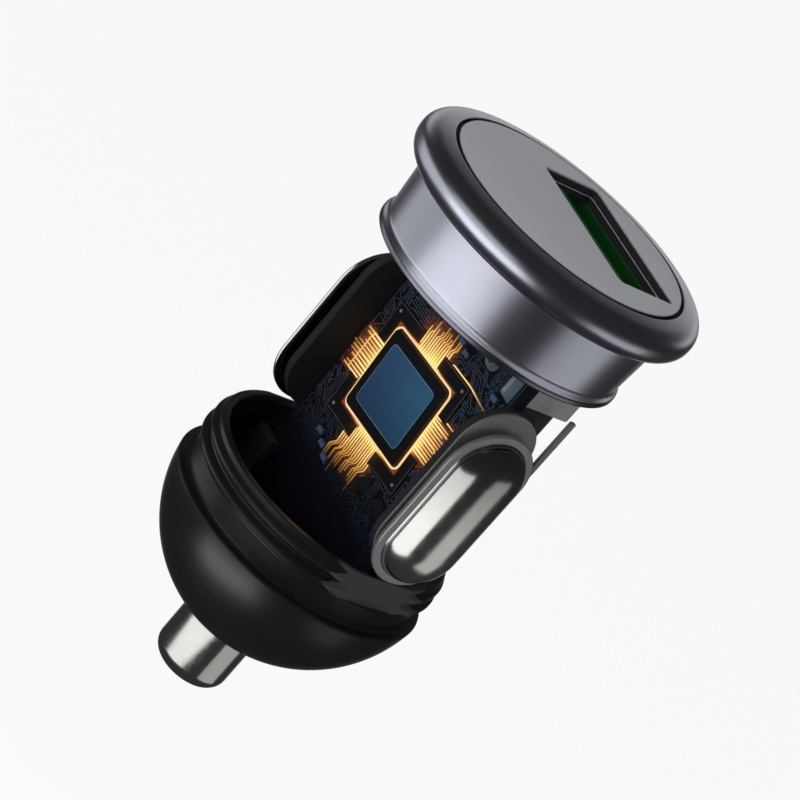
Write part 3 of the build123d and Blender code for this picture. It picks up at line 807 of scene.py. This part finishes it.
def make_rails():
    """Slots in the nose that hold the lower end of the board."""
    rail_inner, floor_inner = BOARD_HALF - 1.2, BOARD_HALF - 2.6
    near, far = 0.45, 1.25

    def wall(z, y):
        share = max(0, (z - BALL_CENTRE) / (COLLAR_TOP - BALL_CENTRE))
        drop = min(0, z - BALL_CENTRE)
        radius = math.sqrt(INNER_BALL**2 - drop**2) + (COLLAR_BORE - INNER_BALL) * share
        return math.sqrt(radius**2 - y**2) + 0.05

    for side, word in SIDES:
        vertices, faces = [], []

        def add(levels, inner, ys):
            loops = []
            for z in levels:
                out = [(side * wall(z, y), y, z) for y in ys]
                loops.append([(side * inner, ys[0], z), *out, (side * inner, ys[-1], z)])
            add_skin(loops, vertices, faces)

        levels = [RAIL_FLOOR + (RAIL_TOP - RAIL_FLOOR) * step / 12 for step in range(13)]
        for face in (-1, 1):
            add(levels, rail_inner, [face * near, face * (near + far) / 2, face * far])
        add([RAIL_FLOOR - 0.8, RAIL_FLOOR], floor_inner, [far * (step / 3 - 1) for step in range(7)])
        rail = bevel(build(f"board_rail_{word}", vertices, faces, cap_black), 0.08, 2)
        place_piece(rail, "charger", "cap", "nose_cap")


# Board: controller, glowing lines and fine traces
def ribbon(points, width, height, vertices, faces, lift=0.0):
    """Adds a raised line along (a, b) points to a list of vertices and faces."""
    section = ((-1, 0), (-0.75, height), (0.75, height), (1, 0))
    loops = []
    for index, point in enumerate(points):
        here = Vector(point)
        before = (here - Vector(points[index - 1])).normalized() if index else None
        after = (Vector(points[index + 1]) - here).normalized() if index < len(points) - 1 else None
        way = before or after
        along = (way + (after or before)).normalized()
        across = Vector((-along.y, along.x))
        mitre = 1 / max(0.5, abs(across.dot(Vector((-way.y, way.x)))))
        offset = across * width / 2 * mitre
        loops.append([on_board(*(here + offset * share), lift + rise) for share, rise in section])
    add_skin(loops, vertices, faces)


def spot(centre, radius, height, vertices, faces, sides):
    """Adds a small round pad to a list of vertices and faces."""
    start = len(vertices)
    for level in (0, height):
        vertices.extend(on_board(x, z, level) for x, z in circle(centre, radius, sides))
    for side in range(sides):
        after = (side + 1) % sides
        faces.append((start + side, start + after, start + sides + after, start + sides + side))
    faces.append(tuple(start + sides + side for side in range(sides)))


# Bundles of bright lines: side of the controller, first and last line along it, how many, reach,
# lean of the lines that bend, and their share
BUNDLES = (
    ("left", -1.6, 1.5, 12, 3.3, 0.1, 0.1),
    ("up", -1.45, 1.75, 13, 2.9, 0.25, 0.4),
    ("right", -1.35, 1.35, 12, 3.2, -0.1, 0.1),
    ("down", -2.3, 1.65, 16, 3.6, -0.5, 0.75),
)
LEAVE = {
    "up": lambda along, out: (along, RING_B + out),
    "down": lambda along, out: (along, -RING_B - out),
    "right": lambda along, out: (RING_A + out, along),
    "left": lambda along, out: (-RING_A - out, along),
}
# Single bright lines: side of the controller, and (along it, out of it) points
SINGLE_LINES = (
    ("up", ((2.2, 0.3), (2.2, 0.95), (2.5, 1.25), (RING_A + 0.9, 1.25), (RING_A + 3.6, 0.9))),
    ("down", ((-2.65, 0.3), (-2.65, 0.55), (-2.95, 0.95), (-3.9, 0.95), (-4.3, 0.55), (-5.3, 0.75))),
    ("left", ((1.75, 0.3), (1.75, 1.1), (1.35, 1.6), (-1.6, 1.75))),
    ("right", ((1.55, 0), (1.55, 0.6), (1.8, 0.9), (1.8, 2.1))),
)


def eased(points, radius, steps=4):
    """Path of (a, b) points with its inner corners rounded."""
    path = [Vector(points[0])]
    for before, corner, after in zip(points, points[1:], points[2:]):
        before, corner, after = Vector(before), Vector(corner), Vector(after)
        reach = min(radius, (before - corner).length * 0.45, (after - corner).length * 0.45)
        first = corner + (before - corner).normalized() * reach
        last = corner + (after - corner).normalized() * reach
        for step in range(steps + 1):
            share = step / steps
            path.append(first.lerp(corner, share).lerp(corner.lerp(last, share), share))
    path.append(Vector(points[-1]))
    return path


def glow_lines():
    """Bright lines that leave the controller: route over the board and width."""
    choice = random.Random(17)
    routes = []
    for side, first, last, count, reach, lean, bent in BUNDLES:
        leave = LEAVE[side]
        block = BLOCK_NEAR[0] if side in ("up", "down") else BLOCK_NEAR[1]
        for index in range(count):
            along = first + (last - first) * index / (count - 1)
            share = (along - (first + last) / 2) / (last - first)
            width = choice.choice((0.06, 0.08, 0.1, 0.15))
            bend = reach * 0.55 + 0.35 * math.copysign(1, lean) * share
            points = [leave(along, 0.0 if abs(along) < block - 0.05 else 2 * BLOCK_GAP)]
            if choice.random() < bent:
                turned = bend + abs(lean)
                points += [leave(along, bend), leave(along + lean, turned)]
                points.append(leave(along + lean, turned + reach * choice.uniform(0.1, 0.45)))
            else:
                points.append(leave(along, reach * choice.uniform(0.6, 1.0) * (1 - 0.5 * abs(share))))
            routes.append((eased(points, 0.12), width))
    for side, points in SINGLE_LINES:
        routes.append((eased([LEAVE[side](*point) for point in points], 0.35, 6), 0.1))
    return [([chip_point(*point) for point in points], width) for points, width in routes]


def bare_patch(x, z):
    """Whether a board place is kept free of fine traces."""
    a, b = (abs(value) for value in chip_share(x, z))
    on_ring = a < RING_A + 0.08 and b < RING_B + 0.08
    on_block = BLOCK_NEAR[0] < a < BLOCK_FAR[0] and BLOCK_NEAR[1] < b < BLOCK_FAR[1]
    patches = SOLDER_SPOTS + tuple((*part, *SMALL_PATCH) for part in SMALL_PARTS)
    return on_ring or on_block or any(
        abs(x - middle_x) < half_x and abs(z - middle_z) < half_z
        for middle_x, middle_z, half_x, half_z in patches
    )


def grid_place(column, row):
    """Board place of a cell of the grid that the fine traces run on."""
    return (-BOARD_HALF + TRACE_MARGIN + column * TRACE_PITCH, TRACE_TOP - row * TRACE_PITCH)


def turning_cells(path):
    """The ends of a path of cells and the cells where it turns."""
    kept = [path[0]]
    for before, here, after in zip(path, path[1:], path[2:]):
        if (here[0] - before[0], here[1] - before[1]) != (after[0] - here[0], after[1] - here[1]):
            kept.append(here)
    return kept + [path[-1]]


def trace_routes():
    """Fine routes over the free board, found by walks on a grid that keep clear of each other."""
    columns = int(2 * (BOARD_HALF - TRACE_MARGIN) / TRACE_PITCH)
    rows = int(TRACE_LENGTH / TRACE_PITCH)
    choice = random.Random(23)
    cells = [(column, row) for column in range(columns + 1) for row in range(rows + 1)]
    taken = {cell for cell in cells if bare_patch(*grid_place(*cell))}
    choice.shuffle(cells)

    def free(cell, path):
        (column, row), (to_column, to_row) = path[-1], cell
        inside = 0 <= to_column <= columns and 0 <= to_row <= rows
        slanted = column != to_column and row != to_row
        crosses = slanted and {(column, to_row), (to_column, row)} <= taken
        return inside and cell not in taken and cell not in path and not crosses

    def walk(start):
        x, z = chip_share(*grid_place(*start))
        sector = round(math.atan2(z, x) / (math.pi / 4) + 0.6 * math.sin(0.9 * x) + 0.5 * math.sin(1.3 * z))
        way = (sector + choice.choice((0, 0, 0, 4, 2))) % 8
        path = [start]
        length = choice.randint(8, 44)
        while len(path) < length:
            if choice.random() < 0.07:
                way = (way + choice.choice((-1, 1))) % 8
            for swing in (0, 1, -1):
                trial = (way + swing) % 8
                cell = (path[-1][0] + WAYS[trial][0], path[-1][1] + WAYS[trial][1])
                if free(cell, path):
                    way = trial
                    path.append(cell)
                    break
            else:
                break
        return path

    routes = []
    for start in cells:
        path = [] if start in taken else walk(start)
        if len(path) >= 4:
            taken.update(path)
            routes.append([grid_place(*cell) for cell in turning_cells(path)])
    return routes


def chip_distances(shader):
    """Distance from the controller's middle along both of its directions, and out of its ring."""
    maths = shader.maths
    across, along = math.cos(CHIP_TURN), math.sin(CHIP_TURN)
    middle_a, middle_b = CHIP_X * across + CHIP_Z * along, CHIP_Z * across - CHIP_X * along
    a = maths("MULTIPLY_ADD", shader.x, across / MM, maths("MULTIPLY_ADD", shader.z, along / MM, -middle_a))
    b = maths("MULTIPLY_ADD", shader.z, across / MM, maths("MULTIPLY_ADD", shader.x, -along / MM, -middle_b))
    a, b = maths("ABSOLUTE", a), maths("ABSOLUTE", b)
    return a, b, maths("SUBTRACT", a, RING_A), maths("SUBTRACT", b, RING_B)


def glow_shader(name, base, rough, strength, ring=0.35):
    """Board finish with the warm haze that the bright lines throw on it."""
    shader = Shader(name)
    maths = shader.maths
    a, b, out_a, out_b = chip_distances(shader)

    def fall(distance, reach):
        share = maths("EXPONENT", maths("MULTIPLY", maths("MAXIMUM", distance, 0.0), -1 / reach))
        return maths("MAXIMUM", maths("SUBTRACT", share, HAZE_CUT), 0.0)

    def bell(distance, reach):
        return maths("EXPONENT", maths("MULTIPLY", maths("POWER", distance, 4.0), -1 / reach**4))

    upright_haze = shader.product(bell(a, HAZE_HALF_WIDTHS[0]), fall(out_b, HAZE_REACH))
    level_haze = shader.product(bell(b, HAZE_HALF_WIDTHS[1]), fall(out_a, HAZE_REACH))
    outside = maths("MAXIMUM", out_a, out_b)
    ragged = shader.spread(shader.noise(700, 3.0), 0.5, 1.3)
    bundles = maths("ADD", upright_haze, level_haze)
    bundles = shader.product(bundles, ragged, maths("GREATER_THAN", outside, 0.0))
    ring_haze = shader.product(fall(maths("ABSOLUTE", outside), HAZE_RING_REACH), ring)
    in_front = maths("LESS_THAN", shader.y, on_board(0, 0, -0.1)[1] * MM)
    haze = shader.product(maths("ADD", bundles, ring_haze), in_front)
    warmth = shader.spread(haze, 0.0, 1.0, 0.1, 0.8)
    if base:
        shader.set(Base_Color=shader.blend(shader.noise(350, 4.0), srgb(*base[0]), srgb(*base[1])))
    shader.set(
        Roughness=shader.spread(shader.noise(3000), *rough),
        Emission_Color=shader.blend(warmth, srgb(190, 92, 30), srgb(244, 172, 74)),
        Emission_Strength=maths("MULTIPLY", haze, strength),
    )
    return shader


def board_material():
    return glow_shader("board_mask", ((9, 11, 17), (14, 20, 31)), (0.45, 0.6), 1.3).material


def trace_material():
    """Copper, greyish in front and teal to the right, that turns dark in the nose."""
    shader = glow_shader("traces", None, (0.35, 0.5), 1.5)
    cloud = shader.noise(260, 3.0)
    grey, teal = (shader.blend(cloud, srgb(*dark), srgb(*light)) for dark, light in TRACE_TONES)
    side = shader.spread(shader.x, 0.0, 1.0, 3.0 * MM, 7.5 * MM)
    rise = shader.spread(shader.z, 0.0, 1.0, -23.5 * MM, -18.5 * MM)
    shader.set(Base_Color=shader.blend(rise, srgb(18, 21, 28), shader.blend(side, grey, teal)))
    return shader.material


def line_material(name, hot, warm, reach, fade, strength=1.0):
    """Bright line that cools from hot to warm and then fades with its distance from the ring."""
    shader = Shader(name)
    out = shader.maths("MAXIMUM", *chip_distances(shader)[2:])
    shader.set(
        Base_Color=srgb(60, 38, 16),
        Roughness=shader.spread(shader.noise(3000), 0.45, 0.6),
        Emission_Color=shader.blend(shader.spread(out, 0.0, 1.0, 0.3, reach), srgb(*hot), srgb(*warm)),
        Emission_Strength=shader.spread(out, strength, 0.05 * strength, reach * 0.55, fade),
    )
    return shader.material


def lid_material():
    """Blue lid, a little greener to the right and darker at its lower end, faintly drawn."""
    shader = Shader("lid_blue")
    across = shader.spread(shader.x, 0.0, 1.0, (CHIP_X - 3.2) * MM, (CHIP_X + 3.2) * MM)
    down = shader.spread(shader.z, 0.75, 0.0, (CHIP_Z - 2.6) * MM, (CHIP_Z + 1.5) * MM)
    blue = shader.blend(across, srgb(46, 74, 108), srgb(42, 94, 122))
    blue = shader.blend(down, blue, srgb(30, 56, 88))
    drawn = shader.spread(shader.noise(900, 2.0, (1, 1, 0.02)), 0.9, 1.08)
    shader.set(
        Base_Color=shader.toned(blue, drawn),
        Roughness=shader.spread(shader.noise(2500), 0.38, 0.46),
    )
    return shader.material


def chip_outline(size, corner):
    """Outline round the controller's middle, for a margin and a height above the board."""

    def outline(grow, height):
        points = rounded_box((size[0] + 2 * grow, size[1] + 2 * grow), corner + grow)
        return [at_chip(a, b, height) for a, b in points]

    return outline


def make_controller():
    body = glow_shader("chip_black", ((17, 17, 19), (24, 24, 26)), (0.5, 0.62), 0.5, 0.3).material
    chip = prism("chip_body", rounded_box(CHIP_SIZE, 0.5), at_chip, (0, CHIP_HEIGHT), body, 0.06)
    place_piece(chip, "charger", "chip", "controller_chip")
    top = CHIP_HEIGHT + LID_HEIGHT
    cover = rounded_box(LID_SIZE, LID_CORNER)
    lid = prism("chip_cover", cover, at_chip, (CHIP_HEIGHT, top), lid_material(), 0.03)
    place_piece(lid, "charger", "chip_lid", "chip_lid")

    half, shoulder = RING_LINE / 2, RING_HEIGHT * 0.6
    section = (
        (-half, 0),
        (-half, shoulder),
        (-half / 2, RING_HEIGHT),
        (half / 2, RING_HEIGHT),
        (half, shoulder),
        (half, 0),
    )
    glow = line_material("ring_glow", (255, 220, 160), (255, 196, 120), 3.0, 9.0)
    middle = [side - RING_LINE for side in RING_SIZE]
    ring = tube("ring_line", section, chip_outline(middle, RING_CORNER), glow)
    place_piece(ring, "charger", "gold", "guard_ring")

    # Pale line just inside the lid's edge: a painted edge highlight.
    low, high = top - 0.01, top + 0.012
    section = ((-0.07, low), (-0.07, high), (-0.035, high), (-0.035, low))
    line = tube("cover_line", section, chip_outline(LID_SIZE, LID_CORNER), lid_line)
    place_piece(line, "charger", "chip_lid")


def make_blocks():
    """Flat black blocks off the controller's corners, with a pale seam and a pin on each."""
    black = glow_shader("block_black", ((17, 17, 19), (25, 25, 28)), (0.55, 0.7), 0.1).material
    edge_a, edge_b = RING_A + BLOCK_GAP, RING_B + BLOCK_GAP
    (far_a, far_b), (near_a, near_b) = BLOCK_FAR, BLOCK_NEAR
    inset = 0.13
    outline = [(far_a, far_b), (far_a, near_b), (edge_a, near_b)]
    outline += [(edge_a, edge_b), (near_a, edge_b), (near_a, far_b)]
    seam = ((far_a - inset, near_b + 0.2), (far_a - inset, far_b - inset), (near_a + 0.2, far_b - inset))
    vertices, faces = [], []
    for side_a, word_a in ((-1, "left"), (1, "right")):
        for side_b, word_b in ((-1, "lower"), (1, "upper")):
            turned = lambda points: [(side_a * a, side_b * b) for a, b in points]
            depth = (0, BLOCK_HEIGHT)
            block = prism(f"corner_{word_b}_{word_a}", turned(outline), at_chip, depth, black, 0.03)
            place_piece(block, "charger", "chip", "corner_blocks")
            ribbon([chip_point(*point) for point in turned(seam)], 0.05, 0.012, vertices, faces, BLOCK_HEIGHT)
            middle = turned([(far_a - POST_INSET, far_b - POST_INSET)])[0]
            loops = []
            for grow, height in ((0.02, 0), (0.0, 0.03), (-0.03, POST_HEIGHT)):
                points = circle(middle, POST_RADIUS + grow, 24)
                loops.append([at_chip(a, b, BLOCK_HEIGHT + height) for a, b in points])
            pin = build(f"block_pin_{word_b}_{word_a}", *loops_to_faces(loops, True), pad_metal)
            place_piece(pin, "charger", "solder", "corner_posts")
    place_piece(build("corner_seams", vertices, faces, seam_grey), "charger", "chip")


def make_board():
    dress("main_board", board_material())
    make_controller()
    make_blocks()

    vertices, faces = [], []
    for route, width in glow_lines():
        ribbon(route, width, 0.05, vertices, faces)
    hot = line_material("line_glow", (255, 236, 150), (244, 168, 72), 2.3, 3.5, 1.15)
    place_piece(build("bright_lines", vertices, faces, hot), "charger", "gold")

    vertices, faces = [], []
    for route in trace_routes():
        ribbon(route, 0.05, 0.02, vertices, faces)
        for end in (route[0], route[-1]):
            spot(end, 0.07, 0.025, vertices, faces, 6)
    place_piece(build("fine_traces", vertices, faces, trace_material()), "charger", "board")


def dress(node, material):
    """Gives a CAD node its finish."""
    item = frame["nodes"][node]
    item.data.materials.clear()
    item.data.materials.append(material)


def make_can():
    groove_low, groove, groove_high = (CAN_BOTTOM + rise for rise in CAN_GROOVE)
    corners = [
        (0, CAN_BOTTOM),
        (CAN_RADIUS, CAN_BOTTOM, 0.2),
        (CAN_RADIUS, groove_low, 0.5),
        (CAN_RADIUS - 0.35, groove, 0.4),
        (CAN_RADIUS, groove_high, 0.5),
        (CAN_RADIUS, CAN_TOP, 0.35),
        (0, CAN_TOP),
    ]
    can = lathe("can_body", corners, can_black, (CAN_X, CAN_Y), 128)
    place_piece(can, "charger", "can", "input_capacitor")


def dress_nodes():
    """Materials of the CAD pieces that show as they are; a few carry painted shade and painted reflections.
    """
    plain = {
        "neck_liner": black_matte,
        "usb_shell": shell_steel,
        "usb_tongue": port_green,
        "chip_capacitors": ceramic,
        "solder_joints": solder_metal,
        "capacitor_leads": solder_metal,
        "inductor": black_matte,
        "strip_right": steel,
        # The left strip is steel like the right one, given black as painted shade on the far side.
        "strip_left": black_gloss,
        "spring_terminal": brass,
    }
    plain.update({f"usb_contact_{number}": brass for number in range(1, 5)})
    for node, material in plain.items():
        dress(node, material)


# Studio
def ray_share(nodes, kinds, low, high):
    """Value that is high for rays of the named kinds and low for the others."""
    path = nodes.node("ShaderNodeLightPath").outputs
    share = path[kinds[0]]
    for kind in kinds[1:]:
        share = nodes.maths("MAXIMUM", share, path[kind])
    return nodes.spread(share, low, high, 0.0, 1.0)


def make_studio():
    world = bpy.data.worlds.new("studio")
    bpy.context.scene.world = world
    world.use_nodes = True
    nodes = Nodes(world.node_tree)
    background = nodes.tree.nodes["Background"].inputs
    nodes.put(background["Color"], WHITE)
    share = ray_share(nodes, ("Is Camera Ray", "Is Glossy Ray", "Is Transmission Ray"), 0.35, 1.0)
    nodes.put(background["Strength"], share)


def make_floor():
    """Plain pale floor, far below the plug and out of its reflections."""
    mesh = bpy.data.meshes.new("floor")
    corners = ((-1, -1), (1, -1), (1, 1), (-1, 1))
    mesh.from_pydata([(x * FLOOR_HALF, y * FLOOR_HALF, FLOOR_LEVEL) for x, y in corners], [], [(0, 1, 2, 3)])
    floor = add_item("floor", mesh)
    floor.visible_glossy = False
    shader = Shader("floor")
    shader.set(Base_Color=(0.9, 0.9, 0.9, 1), Roughness=0.9)
    glow = shader.node("ShaderNodeEmission", {"Color": WHITE})
    share = ray_share(shader, ("Is Camera Ray", "Is Glossy Ray"), 0.0, 0.9)
    mix = shader.node("ShaderNodeMixShader", {0: share, 1: shader.surface.outputs[0], 2: glow.outputs[0]})
    shader.show(mix.outputs[0])
    mesh.materials.append(shader.material)


def piece_group(name, words):
    """Collection of the pieces that a lamp shines on."""
    group = bpy.data.collections.new(name)
    for item in bpy.context.scene.objects:
        if item.type == "MESH" and any(word in item.name for word in words):
            group.objects.link(item)
    return group


def make_surroundings():
    """Dark room that only reflections see, brighter high up and low down behind the plug."""
    bpy.ops.mesh.primitive_uv_sphere_add(segments=64, ring_count=32, radius=ROOM_RADIUS)
    room = bpy.context.object
    room.name = "surroundings"
    for kind in ("camera", "diffuse", "shadow", "transmission"):
        setattr(room, f"visible_{kind}", False)
    shader = Shader("surroundings")
    maths = shader.maths
    back = maths("MULTIPLY", maths("SUBTRACT", shader.y, shader.x), math.sqrt(0.5) / ROOM_RADIUS)
    up = maths("MULTIPLY", shader.z, 1 / ROOM_RADIUS)
    above = maths("MULTIPLY_ADD", up, 0.4, maths("MULTIPLY", back, 0.9))
    below = maths("MULTIPLY_ADD", up, -0.36, maths("MULTIPLY", back, 0.93))
    high, low = shader.spread(above, 0.035, 0.06, 0.8, 0.98), shader.spread(below, 0.0, 0.5, 0.9, 0.97)
    glow = shader.node("ShaderNodeEmission", {"Color": WHITE, "Strength": maths("ADD", high, low)})
    shader.show(glow.outputs[0])
    room.data.materials.append(shader.material)


FLOOR_HALF = 8.0
FLOOR_LEVEL = -0.25
ROOM_RADIUS = 0.4
# Lamps for everything: place, side of the square (m) and power
ROOM_AIM = (0, 0, -0.015)
ROOM_LAMPS = (
    ("key", (0.06, -0.34, 0.06), 0.2, 0.7),
    ("top", (-0.05, -0.05, 0.36), 0.25, 0.9),
    ("fill", (0.33, 0.10, 0.04), 0.2, 0.4),
    ("back", (-0.22, 0.26, -0.02), 0.25, 0.7),
)
BOX_REACH = 0.2
HEAD = ("bezel_shell", "neck_lip")
# Soft boxes: piece names they shine on, azimuth from +X towards +Y, elevation, half width and
# half height in degrees as seen from a height along the axis (mm), brightness
SOFT_BOXES = (
    (HEAD, -78, -22, 34, 11, 0, 2.25),
    (HEAD, -82, 4, 30, 13, 0, 0.7),
    (HEAD, -141, -15, 28, 13, 0, 0.9),
    (HEAD, 35, -23, 24, 9, 0, 0.8),
    (HEAD, 135, 10, 44, 9, 0, 0.72),
    (("neck_lip",), -80, 38, 34, 28, -4, 1.3),
    (("neck_lip",), 35, 38, 24, 28, -4, 0.6),
    (("contact_plate_right",), -49, -24, 43, 17, -16, 1.25),
    (("contact_plate_right",), 45, -20, 14, 17, -16, 0.5),
    (("contact_plate_left",), -135, -21, 18, 30, -16, 1.4),
    (("pin_body",), -78, -20, 52, 16, -38, 1.15),
    (("pin_body",), 37, -20, 25, 16, -38, 0.42),
    (("nose_shell",), -72, -51, 22, 8, -26, 3.6),
    (("nose_shell",), 31, -38, 14, 8, -26, 0.55),
    (("nose_shell",), -140, -18, 24, 8, -25, 0.9),
    (("nose_shell",), -85, -8, 26, 5, -25, 2.0),
)


def make_soft_boxes():
    for number, (words, azimuth, elevation, half_width, half_height, level, bright) in enumerate(SOFT_BOXES):
        turn, rise = math.radians(azimuth), math.radians(elevation)
        way = Vector((math.cos(turn) * math.cos(rise), math.sin(turn) * math.cos(rise), math.sin(rise)))
        aim = Vector((0, 0, level * MM))
        size = [2 * BOX_REACH * math.tan(math.radians(half)) for half in (half_width, half_height)]
        power = bright * math.pi * size[0] * size[1]
        item = make_lamp(f"soft_box_{number}", aim + BOX_REACH * way, aim, size, power)
        item.light_linking.receiver_collection = piece_group(f"lit_by_{number}", words)


def make_lamp(name, place, aim, size, power):
    """Area lamp whose width lies level."""
    lamp = bpy.data.lights.new(name, "AREA")
    lamp.shape = "RECTANGLE"
    lamp.size, lamp.size_y = size
    lamp.energy = power
    item = add_item(name, lamp)
    item.location = place
    item.rotation_euler = (Vector(aim) - Vector(place)).to_track_quat("-Z", "Y").to_euler()
    item.visible_camera = False
    return item


def make_room_lamps():
    """Soft lamps for everything, kept out of reflections."""
    for name, place, side, power in ROOM_LAMPS:
        item = make_lamp(name, place, ROOM_AIM, (side, side), power)
        item.visible_glossy = False


def make_camera():
    place = Vector((143.315, -144.296, 63.782)) * MM
    aim = Vector((-0.490, -0.490, -14.990)) * MM
    roll = math.radians(40.81)
    data = bpy.data.cameras.new("camera")
    data.lens = 144
    data.sensor_width = 36
    camera = add_item("camera", data)
    camera.location = place
    look = (aim - place).to_track_quat("-Z", "Y").to_matrix() @ Matrix.Rotation(roll, 3, "Z")
    camera.rotation_euler = look.to_euler()
    bpy.context.scene.camera = camera


make_bezel()
make_face()
make_port_edge()
make_nose()
make_rails()
make_pin()
make_pin_spring()
for side, word in SIDES:
    make_contact(side, word)
    make_holder(side, word)
    make_leaf(side, word)
make_board()
make_can()
dress_nodes()

make_studio()
make_floor()
make_surroundings()
make_soft_boxes()
make_room_lamps()
make_camera()
bpy.context.scene.view_settings.view_transform = "Standard"
